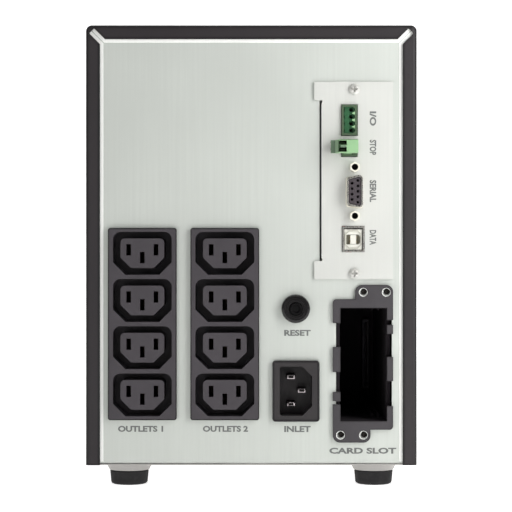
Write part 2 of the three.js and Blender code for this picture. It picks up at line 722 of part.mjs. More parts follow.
const headerHeight = (poles) => poles * POLE_PITCH + 1.6;

// A pluggable terminal header, open to the rear, with one scallop and one pin for each pole.
function header(z, poles) {
  const { wall, front, back, cavityRight } = HEADER;
  const w = HEADER.width / 2;
  const h = headerHeight(poles) / 2;
  const deep = back - 2;
  const body = box(SIGNAL_X - w, SIGNAL_X + w, front, back, z - h, z + h);
  const cavity = box(SIGNAL_X - w + wall, cavityRight, front - PAST, deep, z - h + wall, z + h - wall);
  const poleZ = Array.from({ length: poles }, (_, i) => z + (i - (poles - 1) / 2) * POLE_PITCH);
  const scallops = poleZ.map((pz) => rod(1.45, cavityRight, pz, front - PAST, deep, 12));
  const pins = poleZ.map((pz) => box(SIGNAL_X - 0.9, SIGNAL_X + 0.1, 3, deep + PAST, pz - 0.5, pz + 0.5));
  return join(cut(body, cavity, ...scallops), ...pins);
}

// The two-pole plug: a nose in the header's cavity and a terminal body with a step and two wire entries.
function epoPlug() {
  const z = HEADER.epoZ;
  const noseLeft = SIGNAL_X - HEADER.width / 2 + HEADER.wall + GAP;
  const nose = box(noseLeft, HEADER.cavityRight - GAP, -2.2, 7, z - 3.1, z + 3.1);
  const { left, right, face, stepX, faceX, stepY, height, lift } = EPO_PLUG;
  const back = -1.8;
  const outline = new THREE.Shape();
  outline.moveTo(faceX, face);
  outline.lineTo(right, face);
  outline.lineTo(right, back);
  outline.lineTo(left, back);
  outline.lineTo(left, stepY);
  outline.lineTo(stepX, stepY);
  outline.closePath();
  const g = new THREE.ExtrudeGeometry(outline, { depth: height, bevelEnabled: false });
  g.translate(0, 0, z + lift - height / 2);
  const poles = [-POLE_PITCH / 2, POLE_PITCH / 2];
  const entries = poles.map((dz) => {
    const middle = z + lift + dz;
    return box(44.6, 48.5, face - PAST, back - 1.2, middle - 1.15, middle + 1.15);
  });
  const sockets = poles.map((dz) => box(SIGNAL_X - 1.3, SIGNAL_X + 0.5, 1, 8, z + dz - 0.9, z + dz + 0.9));
  return cut(nose.add(solid(g)), ...entries, ...sockets);
}

const JACKSCREW_HOLE = 1.7; // radius
const jackscrewCentres = () => [SERIAL.z - SERIAL.screwOffset, SERIAL.z + SERIAL.screwOffset];

// The connector's metal nose and the plate behind the bracket.
function serialShell() {
  const { x, z, front, wall } = SERIAL;
  const plateFace = PANEL_FACE;
  const plate = box(x - 5.8, x + 6, plateFace, plateFace + 0.8, z - 15.4, z + 15.4);
  return cut(
    join(slab(serialOutline(0), front, plateFace + 0.4), plate),
    slab(serialOutline(-wall), front - PAST, plateFace + 2),
    ...jackscrewCentres().map((screwZ) => rod(JACKSCREW_HOLE, x, screwZ, 0, 5, 12)),
  );
}

// Five contacts in the long row towards +X and four in the short one.
function serialContactPlaces() {
  const { pitch, rowOffset } = SERIAL_CONTACT;
  const row = (count, dx) => Array.from({ length: count }, (_, i) => [dx, (i - (count - 1) / 2) * pitch]);
  return [...row(5, rowOffset), ...row(4, -rowOffset)];
}

function serialInsulator() {
  const { x, z, front } = SERIAL;
  const nose = slab(serialOutline(-SERIAL.wall - GAP), front + 0.4, PANEL_BACK + 0.4);
  const body = box(BOARD.face + GAP, x + 6, PANEL_BACK + 0.1, 14, z - 10, z + 10);
  const holes = serialContactPlaces().map(([dx, dz]) =>
    rod(SERIAL_CONTACT.radius, x + dx, z + dz, front - PAST, front + 6, 8));
  return cut(nose.add(body), ...holes);
}

// A hexagonal screw with a threaded hole for the plug's own screw.
function serialJackscrew(z) {
  const under = PANEL_FACE - GAP - BRACKET.thick - GAP;
  const height = 4.6;
  const hex = new THREE.CylinderGeometry(2.75, 2.75, height, 6);
  hex.translate(SERIAL.x, under - height / 2, z);
  const shank = rod(1.4, SERIAL.x, z, under - PAST, 8, 12);
  return cut(solid(hex).add(shank), rod(1.65, SERIAL.x, z, under - height - PAST, under - 0.6, 20));
}

function usbShell() {
  const w = USB.width / 2;
  const h = USB.height / 2;
  const outer = box(USB.x - w, USB.x + w, USB.front, 15, USB.z - h, USB.z + h);
  const [inW, inH] = [w - USB.wall, h - USB.wall];
  return cut(outer, box(USB.x - inW, USB.x + inW, USB.front - PAST, 14, USB.z - inH, USB.z + inH));
}

// The plastic inside: a square frame with a six-sided mouth and a tongue in the middle.
function usbInsert() {
  const w = USB.width / 2 - USB.wall - USB.gap;
  const h = USB.height / 2 - USB.wall - USB.gap - USB.drop;
  const { x, front } = USB;
  const z = USB.z - USB.drop;
  const { width, height, chamfer, tongueWidth, tongueHeight } = USB_MOUTH;
  const frame = box(x - w, x + w, front + 1, 13.5, z - h, z + h);
  const mouth = slab(iecOutline(x, z, height, width, chamfer, 0.4, true), front - PAST, 9.5);
  const tongue = box(
    x - tongueWidth / 2, x + tongueWidth / 2, front + 1.2, 10, z - tongueHeight / 2, z + tongueHeight / 2,
  );
  return cut(frame, mouth).add(tongue);
}

// ---------------------------------------------------------------- front

// The bezel's full block: an arched plan, round along its top and bottom edges. `inset` offsets it inwards.
function bezelBlock(inset, forward = 0) {
  const side = HALF_WIDTH - inset;
  const crown = BEZEL.crown - inset + forward;
  const shoulder = BEZEL.shoulder - inset + forward;
  const shoulderX = BEZEL.shoulderX - inset / 2;
  const s = new THREE.Shape();
  s.moveTo(-side, BEZEL.rear - 8);
  s.lineTo(side, BEZEL.rear - 8);
  s.lineTo(side, BEZEL.side);
  s.quadraticCurveTo(side, shoulder - 0.6, shoulderX, shoulder);
  const steps = 10;
  const rise = crown - shoulder;
  for (let i = 1; i < steps; i++) {
    const t = 1 - (2 * i) / steps;
    s.lineTo(shoulderX * t, shoulder + rise * (1 - t * t));
  }
  s.lineTo(-shoulderX, shoulder);
  s.quadraticCurveTo(-side, shoulder - 0.6, -side, BEZEL.side);
  s.closePath();
  const bevel = BEZEL.bevel - Math.min(inset, 2);
  const g = new THREE.ExtrudeGeometry(s, {
    depth: CASE_HEIGHT - 2 * inset - 2 * bevel,
    curveSegments: 4,
    bevelThickness: bevel,
    bevelSize: bevel,
    bevelOffset: -bevel,
    bevelSegments: 3,
  });
  g.translate(0, 0, CASE_BOTTOM + inset + bevel);
  const rear = inset ? 0 : BEZEL.rear;
  return solid(g).intersect(
    box(-HALF_WIDTH - PAST, HALF_WIDTH + PAST, rear, 400, CASE_BOTTOM - PAST, CASE_TOP + PAST),
  );
}

function windowPrism(inset) {
  const shape = roundedRectangle(
    -WINDOW.halfWidth + inset, WINDOW.halfWidth - inset, WINDOW.bottom + inset, WINDOW.top - inset, 3 - inset,
  );
  return slab(shape, BEZEL.side, BEZEL.crown + 5);
}

const louvreCentres = () => Array.from({ length: LOUVRE.count }, (_, i) => LOUVRE.firstZ + i * LOUVRE.pitch);

function frontBezel() {
  const outer = bezelBlock(0);
  const backing = outer.intersect(
    box(-WINDOW.halfWidth - 4, WINDOW.halfWidth + 4, BEZEL.shoulder, 400, WINDOW.bottom - 4, WINDOW.top + 4),
  );
  const shell = cut(outer, bezelBlock(BEZEL.wall)).add(backing);
  const pocket = windowPrism(0).subtract(bezelBlock(0, -WINDOW.depth));
  const through = [BEZEL.side - 5, BEZEL.crown + 5];
  const lcdHole = slab(
    roundedRectangle(-LCD.halfWidth, LCD.halfWidth, LCD.bottom, LCD.top, 1.5), ...through, 2,
  );
  const louvres = louvreCentres().map((z) =>
    slab(obround(0, z, LOUVRE.length, LOUVRE.width), ...through, 2));
  const keyHoles = [-KEY.x, KEY.x].map((x) =>
    slab(obround(x, KEY.z, KEY.width + 0.7, KEY.height + 0.7), ...through));
  const buttonHole = rod(POWER_BUTTON.radius + 0.35, 0, POWER_BUTTON.z, ...through, 32);
  const hooks = HOOK.zs.flatMap((z) => [bezelHook(-HOOK.x, z), bezelHook(HOOK.x, z)]);
  return join(cut(shell, pocket, lcdHole, buttonHole, ...keyHoles, ...louvres), ...hooks);
}

// A rib behind the bezel with a barb that catches the case's front wall.
function bezelHook(x, z) {
  const { width, thick, tip } = HOOK;
  const rib = box(x - width / 2, x + width / 2, tip, BEZEL.shoulder - 1, z - thick / 2, z + thick / 2);
  const barb = box(x - width / 2, x + width / 2, tip, tip + 2.8, z, z + thick / 2 + 1.4);
  return rib.add(barb);
}

function displayWindow() {
  const skin = cut(bezelBlock(0), bezelBlock(0, -WINDOW.depth + GAP));
  return windowPrism(GAP).intersect(skin);
}

// The liquid-crystal cell in its frame.
function displayModule() {
  const { halfWidth, bottom, top } = LCD;
  const back = DISPLAY_BOARD.front + GAP;
  return cut(
    box(-halfWidth + 1, halfWidth - 1, back, BEZEL.shoulder + 1, bottom + 1, top - 1),
    box(-halfWidth + 4, halfWidth - 4, BEZEL.shoulder + 0.4, BEZEL.shoulder + 2, bottom + 4, top - 4),
  );
}

const displayBoard = () => box(-46, 46, DISPLAY_BOARD.rear, DISPLAY_BOARD.front, 138, 221);

function powerButton() {
  const r = POWER_BUTTON.radius;
  const front = BEZEL.crown + 0.6;
  const back = DISPLAY_BOARD.front + GAP + POWER_BUTTON.travel;
  return turnedAlongY(
    [
      [0, back], [r - 2, back], [r, back + 2], [r, front - 1], [r - 0.7, front - 0.2], [r - 2, front],
      [0, front - 0.5],
    ],
    0, POWER_BUTTON.z, 32,
  );
}

function key(side) {
  const x = side * KEY.x;
  const front = BEZEL.crown - 0.5;
  const shape = obround(x, KEY.z, KEY.width, KEY.height);
  return slab(shape, DISPLAY_BOARD.front + GAP + 1.2, front, 5, 0.5, 1);
}

// ---------------------------------------------------------------- inside

function battery(side) {
  const x = side * BATTERY.x;
  const half = BATTERY.width / 2 - 0.5;
  const top = BATTERY.bottom + BATTERY.height;
  const front = BATTERY.rearY + BATTERY.length;
  const tub = box(x - half, x + half, BATTERY.rearY, front, BATTERY.bottom, top - 8);
  const lid = box(x - half + 0.6, x + half - 0.6, BATTERY.rearY + 0.6, front - 0.6, top - 9, top);
  const tab = (dx) =>
    box(x + dx - 3.1, x + dx + 3.1, BATTERY.rearY + 6, BATTERY.rearY + 6.8, top - 1, top + 5);
  return join(tub, lid, tab(-20), tab(20));
}

function batteryStrap() {
  const top = BATTERY.bottom + BATTERY.height + 1.2;
  const low = CASE_BOTTOM + SHEET + GAP;
  const [y0, y1] = [236, 256];
  const leg = (side) => {
    const inner = side * 70;
    const outer = side * 71.2;
    const tip = side * 81;
    return box(Math.min(inner, outer), Math.max(inner, outer), y0, y1, low, top + SHEET).add(
      box(Math.min(inner, tip), Math.max(inner, tip), y0, y1, low, low + SHEET),
    );
  };
  return join(box(-71.2, 71.2, y0, y1, top, top + SHEET), leg(-1), leg(1));
}

// E-and-I laminations with two windows beside the middle limb.
const TRANSFORMER = {
  x: -18, halfWidth: 48, z0: 18, z1: 98, y0: 70, y1: 120, limb: 16, window: 16, yoke: 16,
};

function transformerCore() {
  const t = TRANSFORMER;
  const core = box(t.x - t.halfWidth, t.x + t.halfWidth, t.y0, t.y1, t.z0, t.z1);
  const window = (side) => {
    const middle = t.x + side * (t.limb + t.window / 2);
    return box(
      middle - t.window / 2, middle + t.window / 2, t.y0 - PAST, t.y1 + PAST, t.z0 + t.yoke, t.z1 - t.yoke,
    );
  };
  const reach = t.halfWidth + 8;
  const feet = box(
    t.x - reach, t.x + reach, t.y0 + 8, t.y1 - 8, CASE_BOTTOM + SHEET + GAP, t.z0 + 2,
  );
  return cut(core, window(-1), window(1)).add(feet);
}

function transformerCoil() {
  const t = TRANSFORMER;
  const reach = t.limb + t.window - GAP;
  const limb = t.limb + GAP;
  const bulge = 12;
  return cut(
    box(t.x - reach, t.x + reach, t.y0 - bulge, t.y1 + bulge, t.z0 + t.yoke + GAP, t.z1 - t.yoke - GAP),
    box(t.x - limb, t.x + limb, t.y0 - GAP, t.y1 + GAP, t.z0, t.z1),
  );
}

function boardShelf() {
  const { left, right, rear, front, z } = SHELF;
  const tray = box(left, right, rear, front, z, z + SHEET);
  const edge = (x0) => box(x0, x0 + SHEET, rear, front, z, z + 6);
  return join(tray, edge(left), edge(right - SHEET));
}

function mainBoard() {
  const { left, right, rear, front } = SHELF;
  return box(left + 3, right - 3, rear + 4, front - 6, MAIN_BOARD_Z, MAIN_BOARD_Z + BOARD.thick);
}

const BOARD_TOP = MAIN_BOARD_Z + BOARD.thick + GAP;

// A comb of fins standing on a thick foot.
function heatSink() {
  const [x0, x1, y0, y1] = [-62, -20, 70, 170];
  const fins = Array.from({ length: 7 }, (_, i) => {
    const x = x0 + (i * (x1 - x0 - 2)) / 6;
    return box(x, x + 2, y0, y1, BOARD_TOP + 3, BOARD_TOP + 45);
  });
  return join(box(x0, x1, y0, y1, BOARD_TOP, BOARD_TOP + 6), ...fins);
}

const bulkCapacitor = (y) => post(12.5, 8, y, BOARD_TOP, BOARD_TOP + 42);
const transferRelay = () => box(-64, -42, 200, 228, BOARD_TOP, BOARD_TOP + 24);

// A ring core lying on the board.
function outputChoke() {
  const [low, high, bore, rim] = [BOARD_TOP, BOARD_TOP + 16, 9, 19];
  return turned([[bore, low], [rim, low], [rim, high], [bore, high], [bore, low]], -42, 268);
}

const TERMINAL_Y = BATTERY.rearY + 4.2;
const TERMINAL_Z = BATTERY.bottom + BATTERY.height + 3;
const LEAD_RADIUS = 2;
const LEAD_POST_Z = BOARD_TOP + 6;

// Each lead starts at a battery terminal.
const terminal = (x) => [x, TERMINAL_Y - 1, TERMINAL_Z];

const batteryLeadRed = () =>
  lead(
    [
      terminal(53.5), [56, 166, 116], [58, 158, 126], [50, 158, 142], [34, 164, 146],
      [24, 170, LEAD_POST_Z + 4], [22, 172, LEAD_POST_Z],
    ],
    LEAD_RADIUS, 22,
  );

const batteryLeadBlack = () =>
  lead(
    [
      terminal(-53.5), [-64, 168, 114], [-78, 166, 120], [-78.5, 170, 134], [-72, 178, 142],
      [-66, 184, LEAD_POST_Z + 3], [-65, 186, LEAD_POST_Z],
    ],
    LEAD_RADIUS, 22,
  );

const batteryLink = () =>
  lead([terminal(-13.5), [-11, 166, 114], [0, 162, 113], [11, 166, 114], terminal(13.5)], LEAD_RADIUS, 14);

// ---------------------------------------------------------------- assembly

const ups = new THREE.Group();

function add(name, made, material) {
  const mesh = new THREE.Mesh(geometryOf(made), material);
  mesh.name = name;
  ups.add(mesh);
}

add("base_pan", basePan(), MATERIAL.zincSteel);
add("rear_panel", rearPanel(), MATERIAL.panelSteel);
add("top_cover", topCover(), MATERIAL.blackPaint);
add("battery_door", batteryDoor(), MATERIAL.zincSteel);
for (const [name, place] of Object.entries(footPlaces)) add(name, foot(place), MATERIAL.rubber);

for (const [side, x] of [["left", BLOCK.leftX], ["right", BLOCK.rightX]]) {
  add(`outlet_block_${side}`, outletBlock(x), MATERIAL.greyPlastic);
  contactPlaces().forEach(([dx], i) => {
    add(`outlet_${["line", "neutral", "earth"][i]}_bar_${side}`, contactBar(x, dx), MATERIAL.brass);
  });
}
add("inlet_housing", inletHousing(), MATERIAL.blackPlastic);
inletPinPlaces().forEach((place, i) => {
  add(`inlet_pin_${["line", "neutral", "earth"][i]}`, inletPin(place), MATERIAL.nickel);
});
add("breaker_body", breakerBody(), MATERIAL.blackPlastic);
add("breaker_nut", breakerNut(), MATERIAL.blackPlastic);
add("breaker_button", breakerButton(), MATERIAL.blackPlastic);

add("card_slot_frame", cardSlotFrame(), MATERIAL.greyPlastic);
add("card_socket", cardSocket(), MATERIAL.blackPlastic);

add("interface_bracket", interfaceBracket(), MATERIAL.bracketPaint);
add("interface_board", interfaceBoard(), MATERIAL.board);
add("bracket_screw_upper", bracketScrew(BRACKET_SCREW.upperZ), MATERIAL.nickel);
add("bracket_screw_lower", bracketScrew(BRACKET_SCREW.lowerZ), MATERIAL.nickel);
add("dry_contact_header", header(HEADER.dryZ, 4), MATERIAL.darkGreen);
add("epo_header", header(HEADER.epoZ, 2), MATERIAL.darkGreen);
add("epo_plug", epoPlug(), MATERIAL.lightGreen);
add("serial_shell", serialShell(), MATERIAL.nickel);
add("serial_insulator", serialInsulator(), MATERIAL.greyPlastic);
add("serial_jackscrew_lower", serialJackscrew(jackscrewCentres()[0]), MATERIAL.nickel);
add("serial_jackscrew_upper", serialJackscrew(jackscrewCentres()[1]), MATERIAL.nickel);
add("usb_shell", usbShell(), MATERIAL.nickel);
add("usb_insert", usbInsert(), MATERIAL.cream);

add("front_bezel", frontBezel(), MATERIAL.blackPlastic);
add("display_window", displayWindow(), MATERIAL.smokedLens);
add("display_module", displayModule(), MATERIAL.lcd);
add("display_board", displayBoard(), MATERIAL.board);
add("power_button", powerButton(), MATERIAL.greyPlastic);
add("select_key", key(-1), MATERIAL.greyPlastic);
add("mute_key", key(1), MATERIAL.greyPlastic);

add("battery_left", battery(-1), MATERIAL.batteryCase);
add("battery_right", battery(1), MATERIAL.batteryCase);
add("battery_strap", batteryStrap(), MATERIAL.zincSteel);
add("battery_lead_red", batteryLeadRed(), MATERIAL.redWire);
add("battery_lead_black", batteryLeadBlack(), MATERIAL.blackWire);
add("battery_link_lead", batteryLink(), MATERIAL.blackWire);
add("transformer_core", transformerCore(), MATERIAL.core);
add("transformer_coil", transformerCoil(), MATERIAL.copper);
add("board_shelf", boardShelf(), MATERIAL.zincSteel);
add("main_board", mainBoard(), MATERIAL.board);
add("heat_sink", heatSink(), MATERIAL.aluminium);
add("bulk_capacitor_rear", bulkCapacitor(90), MATERIAL.blackPlastic);
add("bulk_capacitor_front", bulkCapacitor(120), MATERIAL.blackPlastic);
add("transfer_relay", transferRelay(), MATERIAL.greyPlastic);
add("output_choke", outputChoke(), MATERIAL.copper);

// The origin is on the floor, halfway between the rearmost and the frontmost point.
ups.position.y = -(EPO_PLUG.face + BEZEL.crown + 0.6) / 2;

export default ups;
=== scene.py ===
"""The looks of a tower UPS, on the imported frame. The frame is in metres; shapes are drawn in millimetres."""
import json
import math

import bmesh
import bpy
from mathutils import Matrix, Vector


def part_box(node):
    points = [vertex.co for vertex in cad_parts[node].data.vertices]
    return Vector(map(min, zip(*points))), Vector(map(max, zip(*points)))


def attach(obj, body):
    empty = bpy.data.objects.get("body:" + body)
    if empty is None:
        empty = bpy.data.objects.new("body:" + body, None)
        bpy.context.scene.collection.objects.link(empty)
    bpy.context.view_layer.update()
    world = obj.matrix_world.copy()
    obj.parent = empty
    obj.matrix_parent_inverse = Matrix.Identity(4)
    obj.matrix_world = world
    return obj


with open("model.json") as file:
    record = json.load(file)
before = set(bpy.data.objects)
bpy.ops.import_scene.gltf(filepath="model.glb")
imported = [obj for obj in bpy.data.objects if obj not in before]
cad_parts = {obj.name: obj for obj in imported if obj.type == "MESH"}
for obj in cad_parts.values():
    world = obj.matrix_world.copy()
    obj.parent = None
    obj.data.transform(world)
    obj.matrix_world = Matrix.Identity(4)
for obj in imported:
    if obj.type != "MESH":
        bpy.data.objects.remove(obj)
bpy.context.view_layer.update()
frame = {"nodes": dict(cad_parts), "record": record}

MM = 0.001
NODES = frame["nodes"]
FLANGE = 7.3  # width of the cover's rear flange, in millimetres


# ---------------------------------------------------------------- colours and shader recipes


def srgb(red, green, blue):
    """A colour on the 0 to 255 scale, as linear RGBA."""

    def linear(value):
        value /= 255
        return value / 12.92 if value <= 0.04045 else ((value + 0.055) / 1.055) ** 2.4

    return (linear(red), linear(green), linear(blue), 1.0)


def shade(colour, factor):
    """A lighter or darker version of a linear colour."""
    return tuple(min(1.0, channel * factor) for channel in colour[:3]) + (1.0,)


class Surface:
    """A material's node tree, with short calls for the nodes that the recipes share."""

    def __init__(self, name, roughness=0.5, metallic=0.0, **sockets):
        self.material = bpy.data.materials.new(name)
        self.material.use_nodes = True
        self.tree = self.material.node_tree
        self.shader = self.tree.nodes["Principled BSDF"]
        self.shader.inputs["Roughness"].default_value = roughness
        self.shader.inputs["Metallic"].default_value = metallic
        for socket, value in sockets.items():
            self.shader.inputs[socket.replace("_", " ")].default_value = value
        self.place = self.add("ShaderNodeTexCoord").outputs["Object"]

    def add(self, kind, **settings):
        node = self.tree.nodes.new(kind)
        for key, value in settings.items():
            setattr(node, key, value)
        return node

    def link(self, source, target):
        self.tree.links.new(source, target)

    def stretched(self, x, y, z):
        """Object coordinates scaled on each axis, so that a pattern gets a direction."""
        mapping = self.add("ShaderNodeMapping")
        self.link(self.place, mapping.inputs["Vector"])
        mapping.inputs["Scale"].default_value = (x, y, z)
        return mapping.outputs["Vector"]

    def noise(self, scale, detail=2.0, place=None, distortion=0.0):
        node = self.add("ShaderNodeTexNoise")
        self.link(place or self.place, node.inputs["Vector"])
        node.inputs["Scale"].default_value = scale
        node.inputs["Detail"].default_value = detail
        node.inputs["Distortion"].default_value = distortion
        return node.outputs["Fac"]

    def cells(self, scale, feature="F1"):
        node = self.add("ShaderNodeTexVoronoi", feature=feature)
        self.link(self.place, node.inputs["Vector"])
        node.inputs["Scale"].default_value = scale
        return node.outputs["Distance"]

    def waves(self, scale, direction, distortion=0.0, profile="SIN"):
        node = self.add("ShaderNodeTexWave", bands_direction=direction, wave_profile=profile)
        self.link(self.place, node.inputs["Vector"])
        node.inputs["Scale"].default_value = scale
        node.inputs["Distortion"].default_value = distortion
        return node.outputs["Fac"]

    def ramp(self, value, *stops):
        """Values or colours at positions from 0 to 1 along the input."""
        node = self.add("ShaderNodeValToRGB")
        self.link(value, node.inputs["Fac"])
        elements = node.color_ramp.elements
        while len(elements) < len(stops):
            elements.new(0.5)
        for element, (position, colour) in zip(elements, stops):
            element.position = position
            element.color = colour if isinstance(colour, tuple) else (colour, colour, colour, 1.0)
        return node.outputs["Color"]

    def blend(self, share, first, second):
        """Two colours, linked or plain, mixed by a linked or plain share."""
        node = self.add("ShaderNodeMix", data_type="RGBA")
        for socket, value in ((node.inputs[0], share), (node.inputs[6], first), (node.inputs[7], second)):
            if isinstance(value, (float, int, tuple)):
                socket.default_value = value
            else:
                self.link(value, socket)
        return node.outputs[2]

    def math(self, operation, first, second):
        node = self.add("ShaderNodeMath", operation=operation)
        for socket, value in zip(node.inputs, (first, second)):
            if isinstance(value, (float, int)):
                socket.default_value = value
            else:
                self.link(value, socket)
        return node.outputs[0]

    def axis(self, name):
        split = self.add("ShaderNodeSeparateXYZ")
        self.link(self.place, split.inputs[0])
        return split.outputs[name]

    def edges(self, radius, share):
        """Up to share on an edge and 0 away from it, broken up by noise; the radius is in millimetres."""
        rounded = self.add("ShaderNodeBevel", samples=4)
        rounded.inputs["Radius"].default_value = radius * MM
        facing = self.add("ShaderNodeVectorMath", operation="DOT_PRODUCT")
        self.link(rounded.outputs[0], facing.inputs[0])
        self.link(self.add("ShaderNodeNewGeometry").outputs["Normal"], facing.inputs[1])
        turned = self.ramp(facing.outputs["Value"], (0.95, 1.0), (0.998, 0.0))
        patchy = self.ramp(self.noise(180, 4), (0.3, 0.6 * share), (0.6, share))
        return self.math("MULTIPLY", turned, patchy)

    def colour(self, source):
        self.link(source, self.shader.inputs["Base Color"])

    def gloss(self, source, low, high):
        """Roughness that runs from low to high as the source runs from 0 to 1."""
        spread = self.add("ShaderNodeMapRange")
        self.link(source, spread.inputs["Value"])
        spread.inputs["To Min"].default_value = low
        spread.inputs["To Max"].default_value = high
        self.link(spread.outputs["Result"], self.shader.inputs["Roughness"])

    def relief(self, *layers):
        """Bumps from (height source, depth in metres) pairs, one on top of the other."""
        normal = None
        for source, depth in layers:
            bump = self.add("ShaderNodeBump")
            self.link(source, bump.inputs["Height"])
            bump.inputs["Distance"].default_value = depth
            if normal:
                self.link(normal, bump.inputs["Normal"])
            normal = bump.outputs["Normal"]
        self.link(normal, self.shader.inputs["Normal"])


def rolled_edge_shade(s):
    """The mask of the painted shade on the cover's rear flange: 1 on both rolled edges and 0 elsewhere, by
    position on the cover.
    """
    low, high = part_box("top_cover")
    flange, band = FLANGE * MM, 1.5 * MM
    sideways = s.math("SUBTRACT", s.math("ABSOLUTE", s.axis("X"), 0.0), high.x - flange)
    upwards = s.math("SUBTRACT", s.axis("Z"), high.z - flange)
    inwards = s.math("MAXIMUM", sideways, upwards)
    outer = s.math("DIVIDE", s.math("SUBTRACT", inwards, flange - band), 0.5 * band)
    inner = s.math("DIVIDE", s.math("SUBTRACT", 0.9 * band, inwards), 0.5 * band)
    rear = s.math("DIVIDE", s.math("SUBTRACT", low.y + 2 * MM, s.axis("Y")), MM)
    return s.ramp(s.math("MINIMUM", rear, s.math("MAXIMUM", outer, inner)), (0.0, 0.0), (1.0, 0.85))


def powder_coat(name, colour):
    """Baked powder paint: orange peel, small pits, a slow change of tone, and painted shade that darkens the
    edges and the flange's rolled edges.
    """
    s = Surface(name, Specular_IOR_Level=0.3)
    peel = s.noise(1100, 3)
    tone = s.ramp(s.noise(14, 4), (0.3, 0.0), (0.7, 1.0))
    paint = s.blend(tone, shade(colour, 0.88), shade(colour, 1.12))
    # Painted shade: the paint goes dark on its edges and on the flange's rolled edges.
    dark = shade(colour, 0.25)
    s.colour(s.blend(rolled_edge_shade(s), s.blend(s.edges(2.4, 1.0), paint, dark), dark))
    s.gloss(s.noise(60, 4), 0.42, 0.56)
    s.relief((peel, 0.00009), (s.noise(3200, 1), 0.00002))
    return s.material


def plated_sheet(name, colour, metallic, roughness, grain=0.00001):
    """Rolled and coated sheet: faint rolling lines, a fine grain, and cloudy gloss."""
    s = Surface(name, metallic=metallic)
    rolling = s.noise(1, 3, s.stretched(900, 900, 18))
    cloud = s.noise(22, 5)
    tone = s.blend(s.ramp(cloud, (0.25, 0.0), (0.75, 1.0)), shade(colour, 0.965), shade(colour, 1.03))
    s.colour(s.blend(s.ramp(rolling, (0.3, 0.0), (0.7, 0.5)), tone, shade(colour, 0.94)))
    s.gloss(s.blend(0.5, cloud, rolling), roughness - 0.08, roughness + 0.1)
    s.relief((rolling, grain), (s.noise(2600, 2), grain))
    return s.material


def plated_part(name, colour, roughness):
    """Bright plating on a small stamped or turned part."""
    s = Surface(name, metallic=1.0)
    streaks = s.noise(1, 2, s.stretched(1800, 1800, 260))
    s.colour(s.blend(s.noise(420, 3), shade(colour, 0.86), shade(colour, 1.08)))
    s.gloss(streaks, roughness - 0.07, roughness + 0.1)
    s.relief((streaks, 0.000006))
    return s.material


def moulded(name, colour, roughness, texture=2400, depth=0.00003, rim=None, **sockets):
    """Injection-moulded plastic: an eroded texture, flow marks, uneven gloss, and optional painted shade on
    its edges.
    """
    s = Surface(name, **{"Specular_IOR_Level": 0.32, **sockets})
    flow = s.noise(1, 3, s.stretched(35, 35, 9), distortion=0.6)
    eroded = s.cells(texture, "SMOOTH_F1")
    tone = s.ramp(s.blend(0.4, flow, s.noise(120, 4)), (0.3, 0.0), (0.7, 1.0))
    plastic = s.blend(tone, shade(colour, 0.86), shade(colour, 1.14))
    # Painted shade: the colour goes darker within rim millimetres of an edge.
    if rim:
        plastic = s.blend(s.edges(rim, 0.9), plastic, shade(colour, 0.4))
    s.colour(plastic)
    s.gloss(s.blend(0.5, flow, s.noise(300, 3)), roughness - 0.07, roughness + 0.08)
    s.relief((eroded, depth), (flow, 0.00003))
    return s.material


def rubber(name, colour):
    s = Surface(name, Specular_IOR_Level=0.3)
    dust = s.noise(260, 5)
    s.colour(s.blend(s.ramp(dust, (0.45, 0.0), (0.8, 1.0)), colour, shade(colour, 1.8)))
    s.gloss(dust, 0.68, 0.86)
    s.relief((s.noise(1500, 3), 0.00006), (s.waves(260, "Z"), 0.00003))
    return s.material


def circuit_board(name, mask, copper):
    """Solder mask over routed copper, with rows of plated holes."""
    s = Surface(name, roughness=0.32, Coat_Weight=0.3)
    tracks = s.ramp(s.cells(170, "DISTANCE_TO_EDGE"), (0.04, 1.0), (0.07, 0.0))
    holes = s.ramp(s.cells(390), (0.1, 1.0), (0.16, 0.0))
    masked = s.blend(tracks, shade(mask, 0.8), shade(mask, 1.5))
    s.colour(s.blend(holes, masked, copper))
    s.relief((tracks, 0.00003))
    return s.material


def laminations(name, colour):
    """The edges of stacked and varnished transformer sheets."""
    s = Surface(name, metallic=0.6)
    edges = s.waves(620, "Y", 0.4, "SAW")
    s.colour(s.blend(edges, shade(colour, 0.6), shade(colour, 1.3)))
    s.gloss(s.noise(90, 4), 0.4, 0.6)
    s.relief((edges, 0.0001))
    return s.material


def windings(name, colour, direction):
    """Turns of enamelled wire, side by side, with painted shade that darkens the wire between the turns."""
    s = Surface(name, roughness=0.3, metallic=0.85, Coat_Weight=0.4)
    turns = s.waves(330, direction, 0.7)
    s.colour(s.blend(turns, shade(colour, 0.35), colour))
    s.relief((turns, 0.0004))
    return s.material


def insulation(name, colour):
    """Extruded wire insulation with a faint die line."""
    s = Surface(name, Specular_IOR_Level=0.45)
    marks = s.noise(1, 3, s.stretched(300, 300, 40))
    s.colour(s.blend(marks, shade(colour, 0.8), shade(colour, 1.2)))
    s.gloss(marks, 0.36, 0.52)
    s.relief((s.noise(900, 2), 0.00003))
    return s.material


def smoked_lens(name):
    """Tinted acrylic: clear enough to show the display, with a faint haze."""
    s = Surface(name, Transmission_Weight=0.92, IOR=1.2, Specular_IOR_Level=0.4)
    haze = s.noise(40, 3)
    s.colour(s.blend(haze, srgb(176, 180, 184), srgb(196, 200, 204)))
    s.gloss(haze, 0.0, 0.03)
    return s.material


def liquid_crystal(name):
    """A reflective liquid-crystal cell with a faint grid and an even backlight."""
    glow = srgb(150, 176, 158)
    s = Surface(name, Emission_Color=glow, Emission_Strength=0.35)
    across, upwards = s.waves(900, "X"), s.waves(900, "Z")
    grid = s.math("MULTIPLY", across, upwards)
    cell = s.blend(s.noise(30, 3), srgb(128, 146, 132), srgb(142, 160, 146))
    s.colour(s.blend(s.ramp(grid, (0.5, 0.0), (0.9, 0.4)), cell, srgb(108, 126, 114)))
    s.gloss(grid, 0.2, 0.3)
    return s.material


